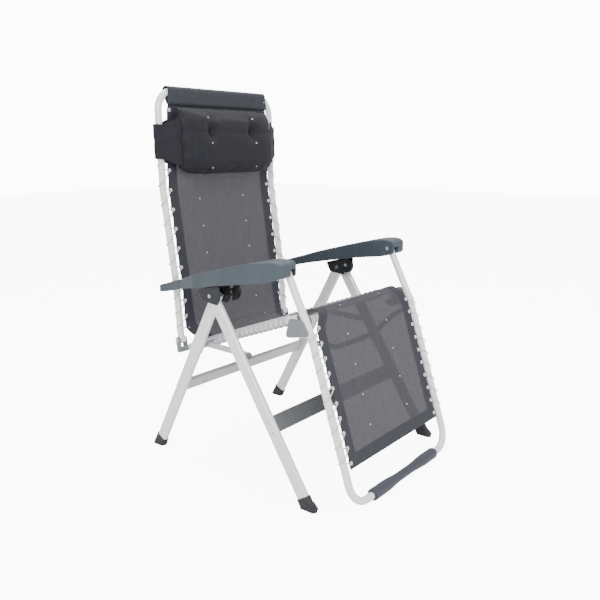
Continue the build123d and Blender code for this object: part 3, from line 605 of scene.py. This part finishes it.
# ---------------------------------------------------------------- sling
@dataclass
class Sling:
    """One long sheet of mesh from the foot end over the knees, the seat and up the back.

    It is sewn from five panels. Its edges are pulled out at
    the eyelets and slack between them, and it sags a little in the middle.
    """

    lift: float = 0.003
    knee_radius: float = 0.034
    rear_radius: float = 0.060
    hem: float = 0.040
    hem_columns: int = 7
    thick: float = 0.0012
    scallop: float = 0.0030
    eyelet_inset: float = 0.009
    line: BentLine = field(init=False)
    knee_s: float = field(init=False)
    rear_s: float = field(init=False)
    leg_eyelets: list[float] = field(init=False)
    seat_eyelets: list[float] = field(init=False)
    back_eyelets: list[float] = field(init=False)
    leg_dots: float = field(init=False)
    back_dots: float = field(init=False)

    def __post_init__(self) -> None:
        """Lays out the side-view line and the eyelet stations."""
        foot = step(SIDE.knee, LEG_DIR, 0.384, -self.lift)
        knee_corner = (-0.2190, 0.5430)
        rear_corner = (0.2975, 0.3345)
        along_back = unit(SIDE.back_tube[1], SIDE.back_tube[2])
        back = [step(p, along_back, 0.0, self.lift) for p in SIDE.back_tube[1:]]
        shoulder = (back[2][0] - 0.0028, 1.046)
        top = (SIDE.back_tube[3][0] - 0.0125, 1.118)
        self.line = BentLine((foot, knee_corner, rear_corner, back[0], back[1], shoulder, top),
                             (self.knee_radius, self.rear_radius, 0.16, 0.20, 0.25))
        self.knee_s = self.line.nearest(knee_corner)
        self.rear_s = self.line.nearest(rear_corner)
        self.leg_eyelets = [self.line.nearest(step(SIDE.knee, LEG_DIR, 0.0422 * k - 0.0113, -self.lift))
                            for k in range(10)]
        spots = [0.032, 0.074, 0.123, 0.177] + [0.231 + 0.0612 * k for k in range(11)]
        self.back_eyelets = [self.line.nearest(BACK_LINE.point(s)) for s in spots]
        self.leg_dots = self.line.nearest(step(SIDE.knee, LEG_DIR, 0.2102, -self.lift))
        self.back_dots = self.line.nearest(back[0]) + 0.177
        first, last = self.knee_s + 0.05, self.rear_s - 0.06
        self.seat_eyelets = [first + (last - first) * k / 18 for k in range(19)]

    def half_width(self, s: float) -> float:
        """Half width of the cloth at a distance along it."""
        legrest, seat, back, top = 0.242, 0.207, 0.234, 0.224
        width = seat + (legrest - seat) * (1.0 - smoothstep(s, self.knee_s - 0.060, self.knee_s + 0.004))
        width += (back - seat) * smoothstep(s, self.rear_s - 0.02, self.rear_s + 0.05)
        return width - (back - top) * smoothstep(s, self.line.length - 0.16, self.line.length - 0.02)

    def slack(self, s: float, stations: Sequence[float]) -> float:
        """0 at an eyelet and 1 midway between two, so that the edge can curve in there."""
        for low, high in zip(stations, stations[1:]):
            if min(low, high) <= s <= max(low, high):
                return math.sin(math.pi * (s - low) / (high - low)) ** 2
        return 0.0

    def place(self, u: float, s: float, stations: Sequence[float], sag: float) -> Vector:
        """Point of the cloth.

        Args:
            u: place across, from -1 at the right edge to 1 at the left edge.
            s: distance along the sling.
            stations: eyelets along this panel's edges.
            sag: depth of the middle below the edges.
        Returns:
            The point in the frame of the part.
        """
        loose = self.slack(s, stations)
        edge = self.half_width(s)
        normal = self.line.direction(s)
        from_edge = (1.0 - abs(u)) * edge
        drawn_in = self.scallop * loose * math.exp(-from_edge / 0.010)
        ripple = 0.0016 * loose * math.exp(-from_edge / 0.03) - 0.0011 * math.exp(-from_edge / 0.055) \
            * math.cos(math.tau * from_edge / 0.06) * loose
        drop = sag * (1.0 - u * u) + ripple
        y, z = self.line.point(s)
        return Vector((u * edge - math.copysign(drawn_in, u), y + normal[1] * drop, z - normal[0] * drop))

    def panel(self, name: str, start: float, end: float, stations: Sequence[float],
              sag: Callable[[float], float]) -> bpy.types.Object:
        """Makes one panel of the sling as a thin double-faced sheet.

        Args:
            name: the panel's name.
            start: distance along the sling where it starts.
            end: distance where it ends.
            stations: its eyelets.
            sag: depth of the middle at a distance along the sling.
        Returns:
            The panel.
        """
        rows = max(4, round((end - start) / 0.006))
        verts, cloth = [], []
        dots = self.leg_dots if end <= self.knee_s else self.back_dots
        for i in range(rows + 1):
            s = start + (end - start) * i / rows
            for u in self.columns(s):
                verts.append(self.place(u, s, stations, sag(s)))
                cloth.append((u * self.half_width(s), s - dots))
        count = len(self.columns(start))
        faces = [(i * count + j, i * count + j + 1, (i + 1) * count + j + 1, (i + 1) * count + j)
                 for i in range(rows) for j in range(count - 1)]
        piece = mesh_piece(name, verts, faces, [Finishes.MESH, Finishes.HEM])
        layer = piece.data.uv_layers.new(name="cloth")
        for face in piece.data.polygons:
            from_side = min(min(v % count, count - 1 - v % count) for v in face.vertices)
            s = sum(cloth[v][1] for v in face.vertices) / 4.0 + dots
            in_hem = from_side < self.hem_columns or self.cross_hem(s)
            face.material_index = 1 if in_hem else 0
            for loop in face.loop_indices:
                layer.data[loop].uv = cloth[piece.data.loops[loop].vertex_index]
        self.thicken(piece)
        return piece

    def columns(self, s: float) -> list[float]:
        """Places across the cloth, from -1 to 1, with the hem's inner edge on a column."""
        edge = self.half_width(s)
        inner = 1.0 - self.hem / edge
        half = [1.0 - (1.0 - inner) * k / self.hem_columns for k in range(self.hem_columns)]
        half += [inner * (1.0 - k / 15) for k in range(16)]
        return [-u for u in half] + half[::-1][1:]

    def cross_hem(self, s: float) -> bool:
        """Whether a crosswise hem or a doubled band is at this distance."""
        return s < 0.034 or s > self.line.length - 0.030

    def thicken(self, piece: bpy.types.Object) -> None:
        """Gives a panel the cloth's thickness."""
        shell = piece.modifiers.new("cloth", "SOLIDIFY")
        shell.thickness = self.thick
        shell.offset = 0.0
        apply_modifiers(piece)

    def declare(self, start: float, end: float) -> None:
        width = 2.0 * max(self.half_width(start + (end - start) * k / 8) for k in range(9))
        area = sum(2.0 * self.half_width(start + (end - start) * (k + 0.5) / 40) for k in range(40)) \
            * (end - start) / 40

    def point3(self, s: float) -> tuple[float, float, float]:
        """Middle of the sling at a distance along it."""
        y, z = self.line.point(s)
        return (0.0, y, z)

    def build(self) -> None:
        """Makes the five panels and puts the middle seat panel on the seat body."""
        knee, rear, end = self.knee_s, self.rear_s, self.line.length
        front_seam, rear_seam = knee + 0.075, rear - 0.085

        def flat_sag(s: float) -> float:
            """Sag of the legrest and back, fading at the corners and the top."""
            return 0.007 * smoothstep(s, knee * 0.0, 0.05) * (1.0 - smoothstep(s, knee - 0.10, knee)) \
                + 0.008 * smoothstep(s, rear, rear + 0.12) * (1.0 - smoothstep(s, end - 0.12, end)) \
                + 0.013 * smoothstep(s, knee, knee + 0.12) * (1.0 - smoothstep(s, rear - 0.12, rear)) \
                - 0.034 * math.exp(-((s - rear) / 0.085) ** 2)

        legrest = self.panel("legrest_mesh", 0.0, knee, self.leg_eyelets, flat_sag)
        self.point3(knee)
        self.point3(knee - 0.045)
        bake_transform(legrest)
        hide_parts("legrest_sling")
        self.declare(0.0, knee)

        front = self.panel("seat_mesh_front", knee, front_seam, self.seat_eyelets, flat_sag)
        self.point3(knee + 0.050)
        self.point3(knee)
        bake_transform(front)
        self.declare(knee, front_seam)

        middle = self.panel("seat_mesh", front_seam, rear_seam, self.seat_eyelets, flat_sag)
        settle(middle, "seat", "sling_fabric", "seat_sling")
        self.declare(front_seam, rear_seam)

        turn = self.panel("seat_mesh_rear", rear_seam, rear, self.seat_eyelets, flat_sag)
        self.point3(rear - 0.07)
        self.point3(rear)
        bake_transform(turn)
        self.declare(rear_seam, rear)

        back = self.panel("back_mesh", rear, end, self.back_eyelets, flat_sag)
        self.point3(rear)
        self.point3(rear + 0.055)
        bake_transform(back)
        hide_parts("back_sling")
        self.declare(rear, end)

    def eyelet(self, side: int, s: float, stations: Sequence[float]) -> tuple[Vector, Vector]:
        """Middle and normal of the eyelet on one side at a distance along the sling."""
        edge = self.half_width(s)
        spot = self.place(side * (1.0 - self.eyelet_inset / edge), s, stations, 0.0)
        y, z = self.line.direction(s)
        return spot, Vector((0.0, -z, y))


@dataclass
class Eyelets:
    """Rolled metal rings pressed through the hems."""

    sling: Sling
    outer: float = 0.0058
    inner: float = 0.0027
    rise: float = 0.0016

    def ring(self, spot: Vector, normal: Vector) -> bpy.types.Object:
        """One rolled ring."""
        middle, bulge = (self.outer + self.inner) / 2.0, (self.outer - self.inner) / 2.0
        profile = [(self.rise * math.sin(a), middle + bulge * math.cos(a))
                   for a in (math.tau * k / 10 for k in range(10))]
        return lathe("ring", profile, spot, normal, 18, Finishes.EYELET)

    def build(self, name: str, stations: Sequence[float], body: str, *nodes: str) -> None:
        """Makes the rings along both edges of one panel."""
        rings = []
        for s in stations:
            for side in (-1, 1):
                spot, normal = self.sling.eyelet(side, s, stations)
                rings.append(self.ring(spot, normal))
        settle(join(name, rings), body, "eyelet", *nodes)


@dataclass
class Lacing:
    """Elastic cord that goes through each eyelet, out over the tube and back behind it."""

    sling: Sling
    radius: float = 0.0016
    finish: Finish = Finishes.CORD

    def curve(self, name: str, points: Sequence[Vector]) -> bpy.types.Object:
        """Round cord on one smooth curve.

        Args:
            name: the piece's name.
            points: the curve's control points.
        Returns:
            The curve object.
        """
        data = bpy.data.curves.new(name, "CURVE")
        data.dimensions = "3D"
        data.bevel_depth = self.radius
        data.bevel_resolution = 3
        data.resolution_u = 6
        data.use_fill_caps = True
        spline = data.splines.new("NURBS")
        spline.points.add(len(points) - 1)
        for spot, point in zip(spline.points, points):
            spot.co = (*point, 1.0)
        spline.order_u = 3
        spline.use_endpoint_u = True
        data.materials.append(self.finish.material())
        piece = bpy.data.objects.new(name, data)
        bpy.context.scene.collection.objects.link(piece)
        return piece

    def route(self, side: int, stations: Sequence[float], tube_x: float, reach: float,
              offset: Callable[[float], float], turn: Point) -> list[Vector]:
        """Control points of the cord of one side.

        Args:
            side: -1 for the right side and 1 for the left.
            stations: eyelets along the sling, in lacing order.
            tube_x: the tube's place across.
            reach: half side of the square that the cord goes round.
            offset: how far the tube's axis is behind the sling at a distance along it.
            turn: shares of the pitch where the cord crosses the outside, in front and behind.
        Returns:
            The control points.
        """
        points = []
        for here, after in zip(stations, stations[1:]):
            spot, normal = self.sling.eyelet(side, here, stations)
            points += [spot - normal * 0.004, spot + normal * 0.004]
            for share, lift in ((turn[0], reach + 0.003), (turn[1], -reach)):
                s = here + (after - here) * share
                y, z = self.sling.line.point(s)
                out = Vector((side * (tube_x + reach), y, z))
                points.append(out + normal * (lift - offset(s)))
        spot, normal = self.sling.eyelet(side, stations[-1], stations)
        points += [spot - normal * 0.004, spot + normal * 0.004]
        return points

    def build(self) -> None:
        """Laces the back and the legrest."""
        for side, word in ((-1, "right"), (1, "left")):
            back = self.curve(f"back_cord_{word}", self.route(
                side, self.sling.back_eyelets[::-1][3:], SIDE.back_x, 0.0140, lambda s: 0.003, (0.62, 0.80)))
            settle(back, "back", "lacing_cord", f"back_lacing_{word}")
            leg = self.curve(f"legrest_cord_{word}", self.route(
                side, self.sling.leg_eyelets, SIDE.legrest_x, 0.0140, lambda s: 0.003, (0.55, 0.75)))
            settle(leg, "legrest", "lacing_cord", f"legrest_lacing_{word}")


@dataclass
class SeatWinding:
    """Cord wound close round a seat rail, two strands to a turn, through the edge of the seat."""

    pitch: float = 0.0205
    strand: float = 0.0025
    spread: float = 0.0053
    rail_gap: float = 0.0136
    inner_reach: float = 0.019
    start: float = 0.040
    stop: float = 0.016

    def turn(self, centre: Vector, side: int, along: Vector, normal: Vector, slant: float) -> list[Vector]:
        """Points of one turn round the rail, pulled in towards the seat's edge."""
        points = []
        steps = 14
        for k in range(steps):
            angle = math.tau * k / steps
            across = math.cos(angle)
            growth = 0.0 if across > 0 else (self.inner_reach - self.rail_gap) * across ** 2
            reach = self.rail_gap + growth
            spot = centre + Vector((side * across * reach, 0.0, 0.0))
            spot += normal * (self.rail_gap * math.sin(angle)) + along * (slant * k / steps)
            points.append(spot)
        return points

    def build(self, sling: Sling) -> None:
        """Winds both rails."""
        # the winding uses the greyer copy of the white elastic: painted shade
        lacing = Lacing(sling, radius=self.strand, finish=Finishes.WINDING_PAINTED_SHADE)
        rear, front = SIDE.rail
        along = Vector((0.0, *RAIL_DIR))
        normal = Vector((0.0, -RAIL_DIR[1], RAIL_DIR[0])) * -1.0
        length = math.dist(rear, front)
        turns = int((length - self.start - self.stop) / self.pitch)
        for side, word in ((-1, "right"), (1, "left")):
            strands = []
            for shift in (0.0, self.spread):
                points: list[Vector] = []
                for k in range(turns):
                    at = self.start + self.pitch * k + shift
                    centre = Vector((side * SIDE.rail_x, *step(rear, RAIL_DIR, at)))
                    points += self.turn(centre, side, along, normal, self.pitch)
                strands.append(points)
            for number, points in enumerate(strands):
                cord = lacing.curve(f"seat_cord_{word}_{number}", points)
                nodes = [f"seat_lacing_{word}"] if number == 0 else []
                settle(cord, "seat", "lacing_cord", *nodes)


# ---------------------------------------------------------------- headrest
@dataclass
class HeadPillow:
    """Padded headrest: a fat roll below, thinner above, two tufts, sleeves round the back tubes."""

    half: float = 0.214
    tuft_x: float = 0.092
    tuft_z: float = 1.014
    cap: float = 0.009
    voxel: float = 0.006
    section: tuple[Point, ...] = ((-0.020, -0.106), (-0.048, -0.109), (-0.066, -0.092), (-0.072, -0.060),
                                  (-0.069, -0.010), (-0.064, 0.030), (-0.054, 0.070), (-0.040, 0.100),
                                  (-0.026, 0.111), (-0.017, 0.106), (-0.015, 0.040), (-0.015, -0.040))

    def tube_y(self, z: float) -> float:
        """Depth of the back tubes at a height."""
        low, high = SIDE.back_tube[2], SIDE.back_tube[3]
        return low[0] + (high[0] - low[0]) * (z - low[1]) / (high[1] - low[1])

    def shell(self) -> bpy.types.Object:
        """Closed starting shape of the pillow, drawn in towards its ends."""
        middle_z = 0.983
        across = [-1.0, -0.985, -0.94, -0.85, -0.7, -0.5, -0.25, 0.0, 0.25, 0.5, 0.7, 0.85, 0.94, 0.985, 1.0]
        verts = []
        for u in across:
            pinch = 1.0 - 0.50 * abs(u) ** 7
            for dy, dz in self.section:
                y = self.tube_y(middle_z) - 0.018 + (dy + 0.018) * pinch
                tall = dz * (1.0 - (0.22 if dz < 0 else 0.05) * abs(u) ** 7)
                verts.append((u * self.half, y, middle_z + tall))
        n = len(self.section)
        faces = [(i * n + k, i * n + (k + 1) % n, (i + 1) * n + (k + 1) % n, (i + 1) * n + k)
                 for i in range(len(across) - 1) for k in range(n)]
        faces += [tuple(range(n))[::-1], tuple((len(across) - 1) * n + k for k in range(n))]
        pillow = mesh_piece("head_pillow", verts, faces, [Finishes.PILLOW])
        fix_normals(pillow)
        return pillow

    def remesh(self, piece: bpy.types.Object, voxel: float) -> None:
        """Turns a mesh into an even quad skin."""
        skin = piece.modifiers.new("skin", "REMESH")
        skin.mode = "VOXEL"
        skin.voxel_size = voxel
        skin.use_smooth_shade = True
        apply_modifiers(piece)

    def inflate(self, piece: bpy.types.Object) -> None:
        """Blows the pillow up with a cloth simulation, and caps how far a point may move."""
        before = np.array([v.co for v in piece.data.vertices])
        cloth = piece.modifiers.new("cloth", "CLOTH")
        cloth.settings.quality = 5
        cloth.settings.mass = 0.3
        cloth.settings.tension_stiffness = 12.0
        cloth.settings.compression_stiffness = 12.0
        cloth.settings.bending_stiffness = 0.4
        cloth.settings.use_pressure = True
        cloth.settings.uniform_pressure_force = 4.0
        cloth.settings.effector_weights.gravity = 0.0
        scene = bpy.context.scene
        for number in range(1, 21):
            scene.frame_set(number)
        apply_modifiers(piece)
        scene.frame_set(1)
        after = np.array([v.co for v in piece.data.vertices])
        move = after - before
        far = np.linalg.norm(move, axis=1, keepdims=True)
        limited = before + move * np.minimum(1.0, self.cap / np.maximum(far, 1e-9))
        for vertex, co in zip(piece.data.vertices, limited):
            vertex.co = co

    def sculpt(self, piece: bpy.types.Object) -> None:
        """Pulls in the tufts with the creases above and below them, and folds the ends."""
        for vertex in piece.data.vertices:
            x, y, z = vertex.co
            front = smoothstep(self.tube_y(z) - y, 0.026, 0.044)
            pull = 0.0
            for tuft in (-self.tuft_x, self.tuft_x):
                dx, dz = x - tuft, z - self.tuft_z
                pull += 0.020 * math.exp(-(dx * dx + dz * dz) / 0.018 ** 2)
                lean = dx - 0.10 * max(dz, 0.0) * math.copysign(1.0, tuft) * -1.0
                above = smoothstep(dz, -0.01, 0.02) * (1.0 - smoothstep(dz, 0.050, 0.085))
                pull += 0.0075 * math.exp(-(lean / 0.011) ** 2) * above
                below = (1.0 - smoothstep(-dz, 0.012, 0.050)) * smoothstep(-dz, -0.01, 0.01)
                pull += 0.0050 * math.exp(-(dx / 0.012) ** 2) * below
                for turn in (0.6, 2.2, 3.9, 5.4):
                    reach = dx * math.cos(turn) + dz * math.sin(turn)
                    aside = -dx * math.sin(turn) + dz * math.cos(turn)
                    ray = smoothstep(reach, 0.004, 0.015) * (1.0 - smoothstep(reach, 0.025, 0.055))
                    pull += 0.0025 * math.exp(-(aside / 0.006) ** 2) * ray
            seam = 0.0022 * math.exp(-((z - self.tuft_z) / 0.009) ** 2)
            end = smoothstep(abs(x), 0.185, 0.205)
            folds = 0.0035 * end * math.sin((z - 0.9) * 120.0 + 1.5 * math.sin(x * 60.0))
            vertex.co.y = y + (pull + seam) * front + folds * front

    def build(self) -> None:
        """Makes the pillow and its two sleeves."""
        pillow = self.shell()
        self.remesh(pillow, self.voxel)
        self.inflate(pillow)
        smooth = pillow.modifiers.new("even", "SMOOTH")
        smooth.factor = 0.5
        smooth.iterations = 4
        finer = pillow.modifiers.new("finer", "SUBSURF")
        finer.levels = finer.render_levels = 1
        apply_modifiers(pillow)
        self.sculpt(pillow)
        for face in pillow.data.polygons:
            face.use_smooth = True
        settle(pillow, "headrest", "pillow_fabric", "headrest_pillow")
        for side, word in ((-1, "right"), (1, "left")):
            self.sleeve(side, word)

    def sleeve(self, side: int, word: str) -> None:
        """Flat sleeve from one end of the pillow round the back tube.

        Args:
            side: -1 for the right side and 1 for the left.
            word: the side's name.
        """
        reach, middle_z = 0.0135, 0.984
        path = [(0.205, -0.046), (0.225, -0.036), (0.240, -0.024), (SIDE.back_x + 0.002, -reach - 0.002)]
        path += [(SIDE.back_x + 0.004 + (reach + 0.003) * math.sin(a), -reach * math.cos(a))
                 for a in (math.pi * k / 10 for k in range(1, 10))]
        path += [(SIDE.back_x - 0.002, reach + 0.001), (0.235, 0.006), (0.205, 0.004)]
        rows = 12
        verts = []
        for i in range(rows + 1):
            v = 2.0 * i / rows - 1.0
            for x, dy in path:
                flare = 0.0525 + 0.020 * (1.0 - smoothstep(x, 0.205, 0.262))
                z = middle_z + v * flare + 0.002 * math.sin(9.0 * v + x * 60.0)
                pucker = 0.0018 * math.sin(7.0 * v + 40.0 * x) * (1.0 - abs(v))
                verts.append((side * x, self.tube_y(z) + dy + pucker, z))
        n = len(path)
        faces = [(i * n + k, i * n + k + 1, (i + 1) * n + k + 1, (i + 1) * n + k)
                 for i in range(rows) for k in range(n - 1)]
        sleeve = mesh_piece(f"pillow_sleeve_{word}", verts, faces, [Finishes.PILLOW])
        soft = sleeve.modifiers.new("soft", "SUBSURF")
        soft.levels = soft.render_levels = 2
        shell = sleeve.modifiers.new("cloth", "SOLIDIFY")
        shell.thickness = 0.0014
        shell.offset = 0.0
        apply_modifiers(sleeve)
        settle(sleeve, "headrest", "hem_fabric", *(["headrest_strap"] if side < 0 else []))


# ---------------------------------------------------------------- top sleeve and foot grip
@dataclass
class TopSleeve:
    """The doubled end of the sling, looped over the top bar and sewn down below it."""

    sling: Sling
    gap: float = 0.0022
    drop: float = 0.042

    def build(self) -> None:
        """Makes the loop of cloth round the bar."""
        y0, z0 = SIDE.back_tube[3]
        radius = SIDE.tube / 2 + self.gap
        base_z = z0 - self.drop
        front = [(y0 - radius - 0.0016 * (1.0 - k / 5), base_z + self.drop * k / 5) for k in range(5)]
        arc = [(y0 - radius * math.cos(a), z0 + radius * math.sin(a)) for a in (0.232 * k for k in range(17))]
        low = (y0 - radius + 0.0022, base_z)
        rear = [(arc[-1][0] + (low[0] - arc[-1][0]) * k / 4, arc[-1][1] + (low[1] - arc[-1][1]) * k / 4)
                for k in range(1, 5)]
        loop = front + arc + rear
        half_low, half_top = self.sling.half_width(self.sling.line.length - 0.03), 0.221
        count = 48
        verts, cloth = [], []
        run = 0.0
        for i, (y, z) in enumerate(loop):
            run += math.dist(loop[i - 1], loop[i]) if i else 0.0
            half = half_low + (half_top - half_low) * smoothstep(z, base_z, z0)
            for k in range(count + 1):
                u = 2.0 * k / count - 1.0
                wave = 0.0006 * math.sin(41.0 * u) * (1.0 if z < z0 else 0.4)
                verts.append((u * half, y + wave, z))
                cloth.append((u * half, run))
        n = count + 1
        faces = [(i * n + k, i * n + k + 1, (i + 1) * n + k + 1, (i + 1) * n + k)
                 for i in range(len(loop) - 1) for k in range(count)]
        sleeve = mesh_piece("top_bar_sleeve", verts, faces, [Finishes.HEM])
        layer = sleeve.data.uv_layers.new(name="cloth")
        for number, place in enumerate(sleeve.data.loops):
            layer.data[number].uv = cloth[place.vertex_index]
        self.sling.thicken(sleeve)
        settle(sleeve, "back", "hem_fabric", "top_sleeve")


@dataclass
class FootGrip:
    """Foam grip on the foot bar: full ends, slim waist, rounded rims and shallow moulded grooves."""

    half: float = 0.178
    rim: float = 0.0150
    shoulder: float = 0.0176
    waist: float = 0.0134
    bore: float = 0.0114

    def radius(self, x: float) -> float:
        """Outer radius at a place along the bar."""
        a = abs(x)
        body = self.waist + (self.shoulder - self.waist) * smoothstep(a, 0.030, 0.115)
        past_rim = max(0.0, (a - self.half + 0.010) / 0.010)
        rounding = self.rim * 0.34 * (1.0 - math.sqrt(max(0.0, 1.0 - past_rim ** 2)))
        groove = sum(0.0007 * math.exp(-((a - g) / 0.0016) ** 2) for g in (0.060, 0.100, 0.140))
        return body - rounding - groove

    def build(self) -> None:
        """Turns the grip round the foot bar."""
        steps = 240
        outer = [(x, self.radius(x)) for x in (self.half * (2.0 * k / steps - 1.0) for k in range(steps + 1))]
        profile = outer + [(self.half, self.bore), (-self.half, self.bore)]
        grip = lathe("foot_bar_grip", profile, Vector((0.0, *SIDE.foot)), Vector((1.0, 0.0, 0.0)), 48,
                     Finishes.FOAM)
        settle(grip, "legrest", "grip_foam", "foot_grip")


# ---------------------------------------------------------------- studio
@dataclass
class Studio:
    """Pale floor, soft lights and the camera."""

    camera_spot: tuple[float, float, float] = (-1.6459, -1.3249, 0.9742)
    azimuth: float = -50.82
    pitch: float = 12.82
    lens: float = 40.84
    sensor: float = 36.0

    def camera(self) -> None:
        """Makes the camera and looks at the chair."""
        data = bpy.data.cameras.new("camera")
        data.lens, data.sensor_width = self.lens, self.sensor
        data.clip_end = 60.0
        camera = bpy.data.objects.new("camera", data)
        turn, tip = math.radians(self.azimuth), math.radians(self.pitch)
        back = Vector((math.sin(turn) * math.cos(tip), -math.cos(turn) * math.cos(tip), math.sin(tip)))
        camera.rotation_euler = back.to_track_quat("Z", "Y").to_euler()
        camera.location = self.camera_spot
        bpy.context.scene.collection.objects.link(camera)
        bpy.context.scene.camera = camera

    def soft_light(self, name: str, spot: Sequence[float], size: float, watts: float) -> None:
        """Adds a square soft light that looks at the chair.

        Args:
            name: the light's name.
            spot: where it stands.
            size: side of the light in metres.
            watts: its power.
        """
        data = bpy.data.lights.new(name, "AREA")
        data.shape, data.size, data.energy = "SQUARE", size, watts
        lamp = bpy.data.objects.new(name, data)
        lamp.location = spot
        aim = Vector((0.0, 0.0, 0.6)) - Vector(spot)
        lamp.rotation_euler = aim.to_track_quat("-Z", "Y").to_euler()
        bpy.context.scene.collection.objects.link(lamp)

    def floor(self) -> None:
        """Lays a large pale floor."""
        reach = 12.0
        corners = [(-reach, -reach, 0.0), (reach, -reach, 0.0), (reach, reach, 0.0), (-reach, reach, 0.0)]
        paper = StudioPaper("matt_white_paper", "F7F7F7")
        floor = mesh_piece("floor", corners, [(0, 1, 2, 3)], [paper], False)

    def build(self) -> None:
        """Sets up camera, floor, lights and surroundings."""
        self.camera()
        self.floor()
        self.soft_light("key", (-2.6, -1.6, 2.4), 1.6, 95.0)
        self.soft_light("fill", (0.6, -3.2, 1.6), 2.0, 24.0)
        self.soft_light("top", (0.4, 0.6, 3.4), 2.4, 95.0)
        world = bpy.data.worlds.new("studio")
        world.use_nodes = True
        sky = world.node_tree
        seen = add_node(sky, "ShaderNodeLightPath").outputs[0]
        power = add_node(sky, "ShaderNodeMath", {"operation": "MULTIPLY_ADD"}, _0=seen, _1=11.0, _2=1.0)
        sky.links.new(power.outputs[0], sky.nodes["Background"].inputs[1])
        sky.nodes["Background"].inputs[0].default_value = linear("FFFFFF")
        bpy.context.scene.world = world


@dataclass(frozen=True)
class StudioPaper(Finish):
    """Seamless matt paper: white, with a faint fibre."""

    roughness: float = 0.9

    def shade(self, tree: bpy.types.NodeTree) -> Node:
        """Matt paper."""
        place = self.coordinates(tree)
        fibre = self.noise(tree, place, 3.0)
        seen = add_node(tree, "ShaderNodeLightPath").outputs[0]
        glow = self.remap(tree, seen, 0.0, 9.0)
        return add_node(tree, "ShaderNodeBsdfPrincipled", Base_Color=linear(self.colour),
                        Roughness=self.roughness, Normal=self.bump(tree, fibre, 0.05),
                        Emission_Color=linear("FFFFFF"), Emission_Strength=glow)


def main() -> None:
    """Builds the recliner round its frame."""
    logging.basicConfig(level=logging.INFO, format="%(name)s: %(message)s")
    Studio().build()
    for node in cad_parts:
        dress_node(node)
    sling = Sling()
    sling.build()
    rings = Eyelets(sling)
    rings.build("back_rings", sling.back_eyelets, "back", "back_eyelets")
    rings.build("legrest_rings", sling.leg_eyelets, "legrest", "legrest_eyelets")
    Lacing(sling).build()
    SeatWinding().build(sling)
    TopSleeve(sling).build()
    HeadPillow().build()
    FootGrip().build()


if __name__ == "__main__":
    main()
